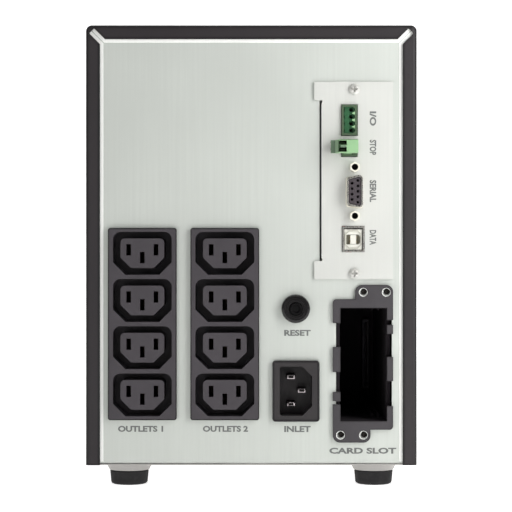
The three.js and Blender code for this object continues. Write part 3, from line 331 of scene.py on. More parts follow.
def print_ink(name, colour):
    """Screen-printing ink: slightly raised, with small pinholes."""
    s = Surface(name)
    pinholes = s.noise(2600, 2)
    s.colour(s.blend(pinholes, shade(colour, 0.85), shade(colour, 1.15)))
    s.gloss(pinholes, 0.5, 0.65)
    return s.material


def light_pipe(name, colour):
    """A clear coloured indicator that glows a little."""
    s = Surface(name, Transmission_Weight=0.3, Emission_Color=colour, Emission_Strength=0.5)
    cloud = s.noise(900, 2)
    s.colour(s.blend(cloud, shade(colour, 0.8), shade(colour, 1.2)))
    s.gloss(cloud, 0.1, 0.2)
    return s.material


MATERIALS = {
    "cover_paint": powder_coat("cover_paint", srgb(46, 42, 44)),
    "panel_steel": plated_sheet("panel_steel", srgb(200, 204, 198), 0.3, 0.5),
    "bracket_paint": plated_sheet("bracket_paint", srgb(206, 207, 202), 0.2, 0.45, 0.000006),
    "zinc_steel": plated_sheet("zinc_steel", srgb(166, 164, 161), 0.75, 0.42),
    "bright_edge": plated_sheet("bright_edge", srgb(250, 251, 247), 0.06, 0.45),
    "foot_rubber": rubber("foot_rubber", srgb(36, 35, 36)),
    "outlet_plastic": moulded("outlet_plastic", srgb(66, 62, 66), 0.5),
    "inlet_plastic": moulded("inlet_plastic", srgb(48, 45, 46), 0.45),
    "slot_plastic": moulded("slot_plastic", srgb(64, 61, 64), 0.52, rim=1.2),
    "slot_shadow": moulded("slot_shadow", srgb(32, 26, 31), 0.8),
    "connector_plastic": moulded("connector_plastic", srgb(66, 60, 64), 0.45),
    "breaker_plastic": moulded(
        "breaker_plastic", srgb(18, 16, 17), 0.24, depth=0.00001, Specular_IOR_Level=0.4,
    ),
    "button_plastic": moulded(
        "button_plastic", srgb(6, 5, 6), 0.4, depth=0.00001, Specular_IOR_Level=0.15,
    ),
    # Painted shade on the rounded lips of the connectors' flanges.
    "lip_shade_plastic": moulded("lip_shade_plastic", srgb(26, 23, 25), 0.5),
    "green_plastic": moulded("green_plastic", srgb(76, 94, 72), 0.42, depth=0.00001),
    "floor_green_plastic": moulded("floor_green_plastic", srgb(46, 92, 60), 0.4, depth=0.00001),
    # Painted shade in the plug's wire entries.
    "throat_shade_plastic": moulded("throat_shade_plastic", srgb(30, 62, 30), 0.5, depth=0.00001),
    # Painted highlight on the header's coding ribs.
    "light_green_plastic": moulded("light_green_plastic", srgb(144, 184, 138), 0.4, depth=0.00001),
    "grey_green_plastic": moulded("grey_green_plastic", srgb(104, 126, 104), 0.5, depth=0.00001),
    "pale_green_plastic": moulded("pale_green_plastic", srgb(140, 166, 136), 0.5, depth=0.00001),
    "white_plastic": moulded("white_plastic", srgb(216, 215, 206), 0.4, depth=0.00001),
    # Darker copies of the white plastic: painted shade on the USB insert's ridge and in its mouth.
    "ridge_shade_plastic": moulded("ridge_shade_plastic", srgb(186, 185, 174), 0.4, depth=0.00001),
    "shade_plastic": moulded("shade_plastic", srgb(134, 132, 118), 0.5, depth=0.00001),
    "bezel_plastic": moulded("bezel_plastic", srgb(44, 43, 46), 0.5, 1900, 0.00005),
    "key_plastic": moulded("key_plastic", srgb(66, 66, 70), 0.42, depth=0.00002),
    "battery_plastic": moulded("battery_plastic", srgb(58, 62, 68), 0.5),
    "sleeve_plastic": moulded("sleeve_plastic", srgb(36, 42, 66), 0.3, depth=0.00001),
    "display_lens": smoked_lens("display_lens"),
    "display_glass": liquid_crystal("display_glass"),
    "nickel_plate": plated_part("nickel_plate", srgb(206, 203, 197), 0.26),
    "pin_metal": plated_part("pin_metal", srgb(176, 168, 170), 0.16),
    "cream_plate": plated_sheet("cream_plate", srgb(232, 228, 214), 0.2, 0.4),
    "screw_plate": plated_sheet("screw_plate", srgb(206, 205, 200), 0.3, 0.36),
    # Dark metal that stands for shade: painted shade in holes, wells and entries, and a painted dark
    # reflection on the inlet pins' tips.
    "shade_dark_metal": plated_part("shade_dark_metal", srgb(34, 32, 31), 0.5),
    "black_screw": plated_part("black_screw", srgb(54, 53, 55), 0.4),
    "contact_brass": plated_part("contact_brass", srgb(70, 60, 46), 0.4),
    "gold_contact": plated_part("gold_contact", srgb(212, 172, 92), 0.3),
    "sink_aluminium": plated_part("sink_aluminium", srgb(190, 192, 195), 0.36),
    "circuit_board": circuit_board("circuit_board", srgb(30, 96, 52), srgb(200, 186, 140)),
    "core_steel": laminations("core_steel", srgb(110, 110, 112)),
    "coil_copper": windings("coil_copper", srgb(176, 96, 52), "Z"),
    "red_insulation": insulation("red_insulation", srgb(170, 30, 28)),
    "black_insulation": insulation("black_insulation", srgb(34, 33, 34)),
    "label_ink": print_ink("label_ink", srgb(104, 106, 104)),
    "white_ink": print_ink("white_ink", srgb(196, 198, 196)),
    "segment_ink": print_ink("segment_ink", srgb(34, 40, 38)),
    "green_lamp": light_pipe("green_lamp", srgb(70, 190, 90)),
    "amber_lamp": light_pipe("amber_lamp", srgb(224, 160, 50)),
    "red_lamp": light_pipe("red_lamp", srgb(200, 50, 44)),
}


# ---------------------------------------------------------------- CAD nodes: edges, smoothing and materials

SLOT_OF = {part["node"]: part["material_slot"] for part in frame["record"]["subparts"]}
EDGE = 0.2
EDGE_OF = {
    "base_pan": 0.15,
    "rear_panel": 0.15,
    "top_cover": 0.35,
    "battery_door": 0.15,
    "interface_bracket": 0.12,
    "outlet_block_left": 0.3,
    "outlet_block_right": 0.3,
    "inlet_housing": 0.3,
    "inlet_pin_line": 0.55,
    "inlet_pin_neutral": 0.55,
    "inlet_pin_earth": 0.55,
    "card_slot_frame": 0.25,
    "front_bezel": 0.3,
    "battery_left": 1.0,
    "battery_right": 1.0,
    "transformer_coil": 4.0,
    "foot_rear_left": 0.4,
    "foot_rear_right": 0.4,
    "foot_front_left": 0.4,
    "foot_front_right": 0.4,
    "serial_shell": 0.08,
    "usb_shell": 0.08,
}


def soften(thing, edge, segments=3):
    """Rounds a mesh's edges, in millimetres, and keeps its flat faces flat to the light."""
    for face in thing.data.polygons:
        face.use_smooth = True
    bevel = thing.modifiers.new("edges", "BEVEL")
    bevel.width = edge * MM
    bevel.segments = segments
    bevel.limit_method = "ANGLE"
    bevel.angle_limit = math.radians(32)
    bevel.use_clamp_overlap = True
    normals = thing.modifiers.new("normals", "WEIGHTED_NORMAL")
    normals.weight = 100
    normals.keep_sharp = True


def dress(node, edge):
    """Joins a CAD node's coplanar triangles before its edges are rounded."""
    weld = node.modifiers.new("weld", "WELD")
    weld.merge_threshold = 0.002 * MM
    flat = node.modifiers.new("flat", "DECIMATE")
    flat.decimate_type = "DISSOLVE"
    flat.angle_limit = math.radians(0.5)
    flat.delimit = {"MATERIAL"}
    soften(node, edge)


def paint_inside(name, material, low, high):
    """Gives a second material to a CAD node's faces whose middle lies between two corners, in metres."""
    node = NODES[name]
    node.data.materials.append(MATERIALS[material])
    index = len(node.data.materials) - 1
    for face in node.data.polygons:
        if all(a < c < b for a, c, b in zip(low, face.center, high)):
            face.material_index = index


FINISH_OF = {
    "serial_jackscrew_upper": "cream_plate",
    "serial_jackscrew_lower": "cream_plate",
    "bracket_screw_upper": "screw_plate",
    "bracket_screw_lower": "screw_plate",
    "breaker_button": "button_plastic",
    "inlet_pin_line": "pin_metal",
    "inlet_pin_neutral": "pin_metal",
    "inlet_pin_earth": "pin_metal",
}

for name, node in NODES.items():
    node.data.materials.clear()
    node.data.materials.append(MATERIALS[FINISH_OF.get(name, SLOT_OF[name])])
    dress(node, EDGE_OF.get(name, EDGE))


# ---------------------------------------------------------------- piece building, in millimetres


def middle(name):
    low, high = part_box(name)
    return (low + high) / (2 * MM)


def lowest(name):
    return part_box(name)[0] / MM


def highest(name):
    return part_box(name)[1] / MM


def add_prism(mesh, outline, y0, y1):
    """Adds an outline of (x, z) points, made solid from y0 to y1."""
    rear = [mesh.verts.new((x, y0, z)) for x, z in outline]
    front = [mesh.verts.new((x, y1, z)) for x, z in outline]
    mesh.faces.new(rear)
    mesh.faces.new(reversed(front))
    count = len(outline)
    for i in range(count):
        j = (i + 1) % count
        mesh.faces.new((rear[j], rear[i], front[i], front[j]))


def add_skin(mesh, loops):
    """Joins each loop of vertices to the next one."""
    count = len(loops[0])
    for first, second in zip(loops, loops[1:]):
        for i in range(count):
            j = (i + 1) % count
            mesh.faces.new((first[i], first[j], second[j], second[i]))


def add_box(mesh, x0, x1, y0, y1, z0, z1):
    add_prism(mesh, [(x0, z0), (x1, z0), (x1, z1), (x0, z1)], y0, y1)


def add_turned(mesh, profile, centre, steps=32, along="Y"):
    """Adds (radius, distance) pairs turned about an axis through centre; they start and end on the axis."""
    rows = []
    for radius, distance in profile:
        if radius == 0:
            rows.append([placed(mesh, centre, 0, 0, distance, along)])
            continue
        turns = [2 * math.pi * i / steps for i in range(steps)]
        rows.append([
            placed(mesh, centre, radius * math.cos(t), radius * math.sin(t), distance, along) for t in turns
        ])
    for first, second in zip(rows, rows[1:]):
        for i in range(steps):
            j = (i + 1) % steps
            corners = [row[k % len(row)] for row, k in ((first, i), (first, j), (second, j), (second, i))]
            mesh.faces.new(list(dict.fromkeys(corners)))


def placed(mesh, centre, u, v, distance, along):
    offset = {"X": (distance, u, v), "Y": (u, distance, v), "Z": (u, v, distance)}[along]
    return mesh.verts.new(tuple(c + o for c, o in zip(centre, offset)))


def piece(name, mesh, body, material, edge=0.0, smooth_below=35):
    """Finishes a mesh drawn in millimetres: a new object on a body and a material."""
    bmesh.ops.recalc_face_normals(mesh, faces=mesh.faces)
    for face in mesh.faces:
        face.smooth = True
    for line in mesh.edges:
        if len(line.link_faces) == 2 and line.calc_face_angle() > math.radians(smooth_below):
            line.smooth = False
    mesh.transform(Matrix.Scale(MM, 4))
    data = bpy.data.meshes.new(name)
    mesh.to_mesh(data)
    mesh.free()
    made = bpy.data.objects.new(name, data)
    bpy.context.scene.collection.objects.link(made)
    data.materials.append(MATERIALS[material])
    if edge:
        soften(made, edge, 2)
    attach(made, body)
    return made


# ---------------------------------------------------------------- printed labels

PANEL_FACE = lowest("rear_panel").y
BRACKET_FACE = lowest("interface_bracket").y
INK = 0.05


def lettering(name, text, centre, width, height, downwards=False):
    """Raised ink letters on the rear, fitted to a size; downwards turns their tops towards +X."""
    curve = bpy.data.curves.new(name, "FONT")
    curve.body = text
    curve.offset = 0.04
    curve.resolution_u = 3
    holder = bpy.data.objects.new(name + "_curve", curve)
    bpy.context.scene.collection.objects.link(holder)
    bpy.context.view_layer.update()
    flat = bpy.data.meshes.new_from_object(holder.evaluated_get(bpy.context.evaluated_depsgraph_get()))
    bpy.data.objects.remove(holder)
    mesh = bmesh.new()
    mesh.from_mesh(flat)
    bmesh.ops.remove_doubles(mesh, verts=mesh.verts, dist=1e-5)
    low = [min(v.co[i] for v in mesh.verts) for i in (0, 1)]
    high = [max(v.co[i] for v in mesh.verts) for i in (0, 1)]
    for v in mesh.verts:
        u = ((v.co.x - low[0]) / (high[0] - low[0]) - 0.5) * width
        w = ((v.co.y - low[1]) / (high[1] - low[1]) - 0.5) * height
        x, z = (w, -u) if downwards else (u, w)
        v.co = (centre[0] + x, centre[1] + INK, centre[2] + z)
    raised = bmesh.ops.extrude_face_region(mesh, geom=mesh.faces[:])["geom"]
    for v in raised:
        if isinstance(v, bmesh.types.BMVert):
            v.co.y -= 2 * INK
    piece(name, mesh, "chassis", "label_ink")


def label_below(name, text, node, shift, gap, width, height=3.1):
    """A label on the rear panel under a CAD node, by a gap and a sideways shift."""
    x = middle(node).x + shift
    z = lowest(node).z - gap - height / 2
    lettering(name, text, (x, PANEL_FACE, z), width, height)


label_below("label_outlets_1", "OUTLETS 1", "outlet_block_left", -1.0, 3.1, 23.2)
label_below("label_outlets_2", "OUTLETS 2", "outlet_block_right", 0.3, 3.1, 23.2)
label_below("label_reset", "RESET", "breaker_nut", 0.9, 3.4, 13.6)
label_below("label_inlet", "INLET", "inlet_housing", 0.8, 2.4, 13.6)
label_below("label_card_slot", "CARD SLOT", "card_slot_frame", 0.0, 2.8, 34.4)

for name, text, node, lift, width in (
    ("label_contacts", "I/O", "dry_contact_header", 0.8, 7.4),
    ("label_stop", "STOP", "epo_header", 0.3, 7.8),
    ("label_serial", "SERIAL", "serial_shell", 0.3, 11.3),
    ("label_data", "DATA", "usb_shell", 0.8, 7.6),
):
    place = (highest("interface_bracket").x - 10.3, BRACKET_FACE, middle(node).z + lift)
    lettering(name, text, place, width, 3.4, downwards=True)


# ---------------------------------------------------------------- case details

FLANGE_X = highest("top_cover").x - FLANGE
FLANGE_Z = highest("top_cover").z - FLANGE


def panel_border():
    """The bright folded rim of the chassis, seen beside the cover's flanges and through the open mitres."""
    showing, hidden, seam, thick = 1.7, 5.3, 0.35, 0.14
    inner_x, outer_x = FLANGE_X - showing, FLANGE_X + hidden
    inner_z, outer_z = FLANGE_Z - showing, FLANGE_Z + hidden
    bottom = lowest("rear_panel").z + 0.3
    y0, y1 = PANEL_FACE - thick, PANEL_FACE + 0.02
    outlines = {"top": [
        (-inner_x + seam, inner_z), (inner_x - seam, inner_z),
        (outer_x - seam, outer_z), (-outer_x + seam, outer_z),
    ]}
    for name, side in (("left", -1), ("right", 1)):
        outlines[name] = [
            (side * inner_x, bottom), (side * outer_x, bottom),
            (side * outer_x, outer_z - seam), (side * inner_x, inner_z - seam),
        ]
    for name, outline in outlines.items():
        mesh = bmesh.new()
        add_prism(mesh, outline, y0, y1)
        piece(f"panel_border_{name}", mesh, "chassis", "bright_edge", edge=0.06)


def cross_screw(name, centre, radius, outwards, along, body, material):
    """A domed screw head with a cross recess, standing outwards from centre along an axis."""
    head = bmesh.new()
    rise = radius * 0.42
    dome = [(0, rise), (radius * 0.45, rise * 0.95), (radius * 0.8, rise * 0.66)]
    profile = dome + [(radius, 0.12), (radius, -0.4), (0, -0.4)]
    add_turned(head, [(r, outwards * d) for r, d in profile], centre, 28, along)
    made = piece(name, head, body, material)
    cutter_mesh = bmesh.new()
    long, short, deep = radius * 0.55, radius * 0.13, rise * 0.55
    for u, v in ((long, short), (short, long)):
        corners = {"X": (deep + 1, u, v), "Y": (u, deep + 1, v), "Z": (u, v, deep + 1)}[along]
        shift = {"X": (1, 0, 0), "Y": (0, 1, 0), "Z": (0, 0, 1)}[along]
        base = [c + s * outwards * (rise + 1) for c, s in zip(centre, shift)]
        spans = [(b - c, b + c) for b, c in zip(base, corners)]
        add_box(cutter_mesh, *spans[0], *spans[1], *spans[2])
    carve(made, cutter_mesh)


def carve(made, cutter_mesh):
    """Cuts a mesh drawn in millimetres out of a piece."""
    bmesh.ops.recalc_face_normals(cutter_mesh, faces=cutter_mesh.faces)
    cutter_mesh.transform(Matrix.Scale(MM, 4))
    data = bpy.data.meshes.new("cutter")
    cutter_mesh.to_mesh(data)
    cutter_mesh.free()
    cutter = bpy.data.objects.new("cutter", data)
    bpy.context.scene.collection.objects.link(cutter)
    cut = made.modifiers.new("cut", "BOOLEAN")
    cut.operation = "DIFFERENCE"
    cut.solver = "EXACT"
    cut.use_self = True
    cut.object = cutter
    bpy.context.view_layer.update()
    result = bpy.data.meshes.new_from_object(made.evaluated_get(bpy.context.evaluated_depsgraph_get()))
    made.modifiers.remove(cut)
    made.data = result
    bpy.data.objects.remove(cutter)


def case_screws():
    """Three screws along each lower edge of the cover, and two in the battery door."""
    rear = lowest("top_cover").y
    low = lowest("top_cover").z + 8
    for side, outwards in (("left", -1), ("right", 1)):
        for number, y in enumerate((40, 165, 290), 1):
            centre = (outwards * highest("top_cover").x, rear + y, low)
            name = f"cover_screw_{side}_{number}"
            cross_screw(name, centre, 3.2, outwards, "X", "chassis", "black_screw")
    door = highest("battery_door")
    for side, x in (("left", -62), ("right", 62)):
        centre = (x, door.y, door.z - 6)
        cross_screw(f"door_screw_{side}", centre, 2.8, 1, "Y", "chassis", "nickel_plate")


def panel_lip():
    """The panel's lower edge, rolled under the base."""
    x = FLANGE_X + 0.2
    bottom = lowest("rear_panel").z
    mesh = bmesh.new()
    add_box(mesh, -x, x, PANEL_FACE, PANEL_FACE + 1.1, bottom - 1.15, bottom + 0.1)
    piece("panel_lip", mesh, "chassis", "panel_steel", edge=0.25)


panel_border()
panel_lip()
case_screws()


# ---------------------------------------------------------------- mains connector details

OUTLET_PITCH = 24.2
PIN_SPACING = 14
PIN_RISE = 1.8
EARTH_DROP = 4


def outlet_contacts(side):
    """Twelve sprung forks, three behind the slots of each outlet."""
    block = f"outlet_block_{side}"
    x, z = middle(block).x, middle(block).z
    front = lowest(block).y
    profile = [(1.3, 8.0), (0.4, 9.5), (0.4, 11.0), (0.85, 14.0), (0.85, 19.5)]
    sheet, half = 0.28, 2.2
    slots = ((-PIN_SPACING / 2, PIN_RISE), (PIN_SPACING / 2, PIN_RISE), (0, PIN_RISE - EARTH_DROP))
    mesh = bmesh.new()
    for row in range(4):
        outlet_z = z + (1.5 - row) * OUTLET_PITCH
        for dx, dz in slots:
            for leaf in (-1, 1):
                add_leaf(mesh, x + dx, outlet_z + dz, front, leaf, profile, sheet, half)
    piece(f"outlet_contacts_{side}", mesh, "chassis", "contact_brass")


def add_leaf(mesh, x, z, front, leaf, profile, sheet, half):
    """One leaf of a fork: a strip that follows (offset, depth) points."""
    rows = []
    for offset, depth in profile:
        near, far = x + leaf * offset, x + leaf * (offset + sheet)
        rows.append([
            mesh.verts.new((px, front + depth, pz))
            for px, pz in ((near, z - half), (far, z - half), (far, z + half), (near, z + half))
        ])
    add_skin(mesh, rows)
    mesh.faces.new(rows[0])
    mesh.faces.new(reversed(rows[-1]))


def rounded(x0, x1, z0, z1, radius, steps=5):
    """The outline of a rectangle with round corners."""
    corners = ((x1, z1, 0), (x0, z1, 1), (x0, z0, 2), (x1, z0, 3))
    points = []
    for x, z, quarter in corners:
        cx = x - radius if x == x1 else x + radius
        cz = z - radius if z == z1 else z + radius
        for i in range(steps + 1):
            turn = math.pi / 2 * (quarter + i / steps)
            points.append((cx + radius * math.cos(turn), cz + radius * math.sin(turn)))
    return points


def add_loops(mesh, *stations):
    """Adds a closed skin through (outline, y) stations, and from the last one back to the first."""
    loops = [[mesh.verts.new((x, y, z)) for x, z in outline] for outline, y in stations]
    add_skin(mesh, loops + loops[:1])


def add_frame(mesh, outer, inner, y0, y1):
    """Adds the ring between two outlines that have the same number of points."""
    add_loops(mesh, (outer, y0), (outer, y1), (inner, y1), (inner, y0))


def flange_rim(node, width, radius):
    """The rounded lip round the flange of a snap-in connector, in dark plastic: painted shade on its edge."""
    low, high = lowest(node), highest(node)
    out = 0.02
    outer = rounded(low.x - out, high.x + out, low.z - out, high.z + out, radius)
    inner = rounded(low.x + width, high.x - width, low.z + width, high.z - width, max(radius - width, 0.3))
    mesh = bmesh.new()
    add_frame(mesh, outer, inner, low.y - 0.06, low.y + 1.6)
    piece(f"{node}_rim", mesh, "chassis", "lip_shade_plastic", edge=0.25)


for side in ("left", "right"):
    outlet_contacts(side)
    flange_rim(f"outlet_block_{side}", 0.55, 1.2)
flange_rim("inlet_housing", 1.25, 1.6)


# ---------------------------------------------------------------- card slot details


def thread_profile(radius, start, end, pitch, depth):
    """The inside of a threaded hole as (radius, distance) pairs, from the mouth to the bottom."""
    turns = int((end - start) / pitch)
    points = []
    for i in range(turns):
        at = start + i * pitch
        points += [(radius, at), (radius - depth, at + pitch / 2)]
    return points


def slot_inserts():
    """Four threaded inserts with a wide countersink, pressed into the flange's screw tabs, each with a dark
    core set towards the upper right as painted shade in its hole.
    """
    low, high = lowest("card_slot_frame"), highest("card_slot_frame")
    upper = (high.x - 3.5, high.z - 3.8)
    lower = (low.x + 3.9, low.z + 3.8)
    spacing = 11.8
    places = [(upper[0] - spacing, upper[1]), upper, lower, (lower[0] + spacing, lower[1])]
    face = low.y
    for number, (x, z) in enumerate(places, 1):
        mesh = bmesh.new()
        bore = [(0.95, 2.3), *thread_profile(0.95, 2.4, 8, 0.7, 0.15), (0.8, 8.2), (0, 8.2)]
        outside = [(0, 9.2), (1.7, 9.2), (1.7, 2.6), (2.25, 2.2), (2.25, 0.15), (2.2, 0.02), (2.1, 0.05)]
        add_turned(mesh, outside + bore, (x, face, z), 32)
        piece(f"slot_insert_{number}", mesh, "chassis", "bright_edge")
        # Painted shade: a dark core in the insert's hole, set towards the upper right.
        bottom = bmesh.new()
        core = [(0, 0.5), (1.2, 0.3), (1.45, 0.12), (1.58, 0.2), (1.58, 7), (0, 7)]
        add_turned(bottom, core, (x + 0.5, face, z + 0.56), 24)
        piece(f"slot_insert_shade_{number}", bottom, "chassis", "shade_dark_metal")


slot_inserts()
flange_back = lowest("card_slot_frame").y + 1.75
paint_inside("card_slot_frame", "slot_shadow", (-1, flange_back * MM, -1), (1, 1, 1))
# Painted shade: the plug's left step gets a grey-green for the shade that falls on it, with a paler green
# strip along the step's edge.
step_right = lowest("epo_plug").x + 2.4
paint_inside("epo_plug", "grey_green_plastic", (-1, -1, -1), (step_right * MM, 1, 1))
paint_inside("epo_plug", "pale_green_plastic", (step_right * MM, -1, -1), ((step_right + 1.2) * MM, 1, 1))
# Painted reflection: the inlet pins' end faces get dark metal for the dark that they reflect.
pin_tip = lowest("inlet_pin_line").y + 0.5
for name in ("line", "neutral", "earth"):
    paint_inside(f"inlet_pin_{name}", "shade_dark_metal", (-1, -1, -1), (1, pin_tip * MM, 1))


# ---------------------------------------------------------------- signal connector details

POLE_PITCH = 3.5
WELL_INSET = 3.2  # from the header's outer side to the middle of its wells


def header_floor():
    """The moulded floor of the open header, with a round well for each pole."""
    node = "dry_contact_header"
    low, high = lowest(node), highest(node)
    z = middle(node).z
    y0, y1 = low.y + 1.5, low.y + 6
    mesh = bmesh.new()
    add_box(mesh, low.x + 0.98, high.x - 1.05, y0, y1, low.z + 0.98, high.z - 0.98)
    made = piece("dry_contact_floor", mesh, "chassis", "floor_green_plastic")
    wells = bmesh.new()
    for pole in (-1.5, -0.5, 0.5, 1.5):
        at = z + pole * POLE_PITCH
        well = [(0, y0 - 1), (1.05, y0 - 1), (1.05, y0 + 3.5), (0, y0 + 3.5)]
        add_turned(wells, well, (high.x - WELL_INSET, 0, at), 20)
        add_box(wells, low.x + 1.0, low.x + 1.5, y0 - 1, y0 + 2, at - 0.8, at + 0.8)
    carve(made, wells)


def header_ribs():
    """The coding ribs between the poles of the open header, in pale green: painted highlight on the lit ribs.
    """
    node = "dry_contact_header"
    z = middle(node).z
    face = lowest(node).y
    right = highest(node).x - 1.3
    mesh = bmesh.new()
    for step in (-1, 0, 1):
        at = z + step * POLE_PITCH
        outline = [(right, at - 0.8), (right, at + 0.8), (right - 1.5, at + 0.2), (right - 1.5, at - 0.2)]
        add_prism(mesh, outline, face - 0.06, face + 1.4)
    piece("dry_contact_ribs", mesh, "chassis", "light_green_plastic", edge=0.1)


def header_pins():
    """Square tinned pins, deep in the wells of the open header, in dark metal: painted shade on them."""
    node = "dry_contact_header"
    x = highest(node).x - WELL_INSET
    z = middle(node).z
    face = lowest(node).y
    mesh = bmesh.new()
    for pole in (-1.5, -0.5, 0.5, 1.5):
        at = z + pole * POLE_PITCH
        add_box(mesh, x - 0.35, x + 0.35, face + 3.4, face + 6, at - 0.35, at + 0.35)
    piece("dry_contact_pins", mesh, "chassis", "shade_dark_metal", edge=0.1)


def plug_entries():
    """The throats of the plug's wire entries, in dark green as painted shade, and the web between them."""
    low, high = lowest("epo_plug"), highest("epo_plug")
    x0, x1 = low.x + 4.0, low.x + 7.9
    z = (low.z + high.z) / 2
    face = low.y
    throat = bmesh.new()
    add_box(throat, x0 - 0.35, x0 + 0.75, face - 0.03, face + 1.2, z - 0.62, z + 0.62)
    add_box(throat, x0 - 0.35, x0, face - 0.03, face + 1.2, z - 2.9, z + 2.9)
    piece("epo_plug_throat", throat, "epo_plug", "throat_shade_plastic", edge=0.03)
    web = bmesh.new()
    add_box(web, x0 + 0.7, x1 - 0.1, face - 0.03, face + 1.0, z - 0.5, z + 0.5)
    piece("epo_plug_web", web, "epo_plug", "grey_green_plastic", edge=0.08)


def plug_clamps():
    """The screw heads and cage clamps of the pluggable terminal block; the cages are in dark metal as painted
    shade deep in the entries.
    """
    low, high = lowest("epo_plug"), highest("epo_plug")
    z = (low.z + high.z) / 2
    x = low.x + 6.0
    walls = ((-1.6, 1.6, -1.0, -0.7), (-1.6, 1.6, 0.7, 1.0), (-1.6, -1.3, -1.0, 1.0), (1.3, 1.6, -1.0, 1.0))
    cages = bmesh.new()
    for step in (-0.5, 0.5):
        at = z + step * POLE_PITCH
        for x0, x1, z0, z1 in walls:
            add_box(cages, x + x0, x + x1, low.y + 3.2, low.y + 6.4, at + z0, at + z1)
    piece("epo_plug_cages", cages, "epo_plug", "shade_dark_metal", edge=0.05)
    for number, step in enumerate((-0.5, 0.5), 1):
        name = f"epo_plug_screw_{number}"
        centre = (low.x, low.y + 6.4, z + step * POLE_PITCH)
        cross_screw(name, centre, 1.15, -1, "X", "epo_plug", "nickel_plate")


def jackscrew_threads():
    """The threaded bore of each jack screw, in dark metal: painted shade in the bore."""
    for name in ("upper", "lower"):
        node = f"serial_jackscrew_{name}"
        centre = middle(node)
        face = lowest(node).y
        mesh = bmesh.new()
        bore = [(1.45, 0.35), *thread_profile(1.45, 0.6, 3.4, 0.6, 0.14), (1.3, 3.5), (0, 3.5)]
        profile = [(0, 3.9), (1.6, 3.9), (1.6, 0.2), *bore]
        add_turned(mesh, profile, (centre.x, face, centre.z), 24)
        piece(f"jackscrew_thread_{name}", mesh, "chassis", "shade_dark_metal")


def serial_collar():
    """The flared foot of the serial shell, where it meets the bracket."""
    node = "serial_shell"
    centre = middle(node)
    rear = BRACKET_FACE - 0.02
    outer = d_outline(centre.x - 0.25, centre.z - 0.2, 8.7, 17.1, 0.9, 1.6)
    inner = d_outline(centre.x, centre.z, 8.0, 16.4, 0.9, 1.6)
    mesh = bmesh.new()
    add_loops(mesh, (outer, rear), (outer, rear - 0.3), (inner, rear - 1.5), (inner, rear))
    piece("serial_collar", mesh, "chassis", "cream_plate", edge=0.1)


def d_outline(x, z, width, height, taper, radius, steps=4):
    """A D outline, shorter on its -X side by the taper at each end, with round corners."""
    w, h = width / 2, height / 2
    corners = [(x + w, z + h), (x - w, z + h - taper), (x - w, z - h + taper), (x + w, z - h)]
    points = []
    for i, corner in enumerate(corners):
        before, after = Vector(corners[i - 1]), Vector(corners[(i + 1) % 4])
        corner = Vector(corner)
        start = corner + (before - corner).normalized() * radius
        end = corner + (after - corner).normalized() * radius
        for k in range(steps + 1):
            t = k / steps
            points.append(tuple(start * (1 - t) ** 2 + corner * 2 * t * (1 - t) + end * t ** 2))
    return points


def serial_contacts():
    """Nine gold socket contacts, deep in the insulator's holes, in dark metal: painted shade on the gold."""
    x, z = middle("serial_shell").x - 0.1, middle("serial_shell").z
    face = lowest("serial_insulator").y
    mesh = bmesh.new()
    for count, dx in ((5, 1.5), (4, -1.5)):
        for i in range(count):
            centre = (x + dx, face, z + (i - (count - 1) / 2) * 2.77)
            profile = [(0, 5.6), (0.68, 5.6), (0.68, 4.2), (0.42, 4.1), (0.4, 5.2), (0, 5.2)]
            add_turned(mesh, profile, centre, 12)
    piece("serial_contacts", mesh, "chassis", "shade_dark_metal")


def usb_contacts():
    """Two gold strips on each long side of the tongue."""
    centre = middle("usb_insert")
    face = lowest("usb_insert").y
    mesh = bmesh.new()
    for side in (-1, 1):
        x0, x1 = sorted((centre.x + side * 1.5, centre.x + side * 1.68))
        for dz in (-1.1, 1.1):
            add_box(mesh, x0, x1, face + 1.4, face + 8, centre.z + dz - 0.5, centre.z + dz + 0.5)
    piece("usb_contacts", mesh, "chassis", "gold_contact", edge=0.04)


def usb_relief():
    """The eight-sided ridge on the face of the USB insert and the floor of its mouth, both in darker copies of
    the white plastic: painted shade.
    """
    node = "usb_insert"
    centre, face = middle(node), lowest(node).y
    mesh = bmesh.new()
    outer = chamfered(centre.x, centre.z, 8.6, 9.4, 2.0)
    inner = chamfered(centre.x, centre.z, 7.6, 8.2, 1.7)
    add_frame(mesh, outer, inner, face - 0.45, face + 0.3)
    piece("usb_ridge", mesh, "chassis", "ridge_shade_plastic", edge=0.1)
    floor = bmesh.new()
    for side in (-1, 1):
        x0, x1 = sorted((centre.x + side * 1.62, centre.x + side * 3.5))
        add_box(floor, x0, x1, face + 2.6, face + 4, centre.z - 2.5, centre.z + 2.5)
    piece("usb_mouth_floor", floor, "chassis", "shade_plastic", edge=0.05)


def chamfered(x, z, width, height, cut):
    """The outline of a rectangle with its corners cut off."""
    w, h = width / 2, height / 2
    return [
        (x + w, z - h + cut), (x + w, z + h - cut), (x + w - cut, z + h), (x - w + cut, z + h),
        (x - w, z + h - cut), (x - w, z - h + cut), (x - w + cut, z - h), (x + w - cut, z - h),
    ]


header_floor()
header_ribs()
header_pins()
plug_entries()
plug_clamps()
jackscrew_threads()
serial_collar()
serial_contacts()
usb_contacts()
usb_relief()


# ---------------------------------------------------------------- front details

BEZEL_SAG = 0.0013  # how fast the bezel's face falls away from its middle


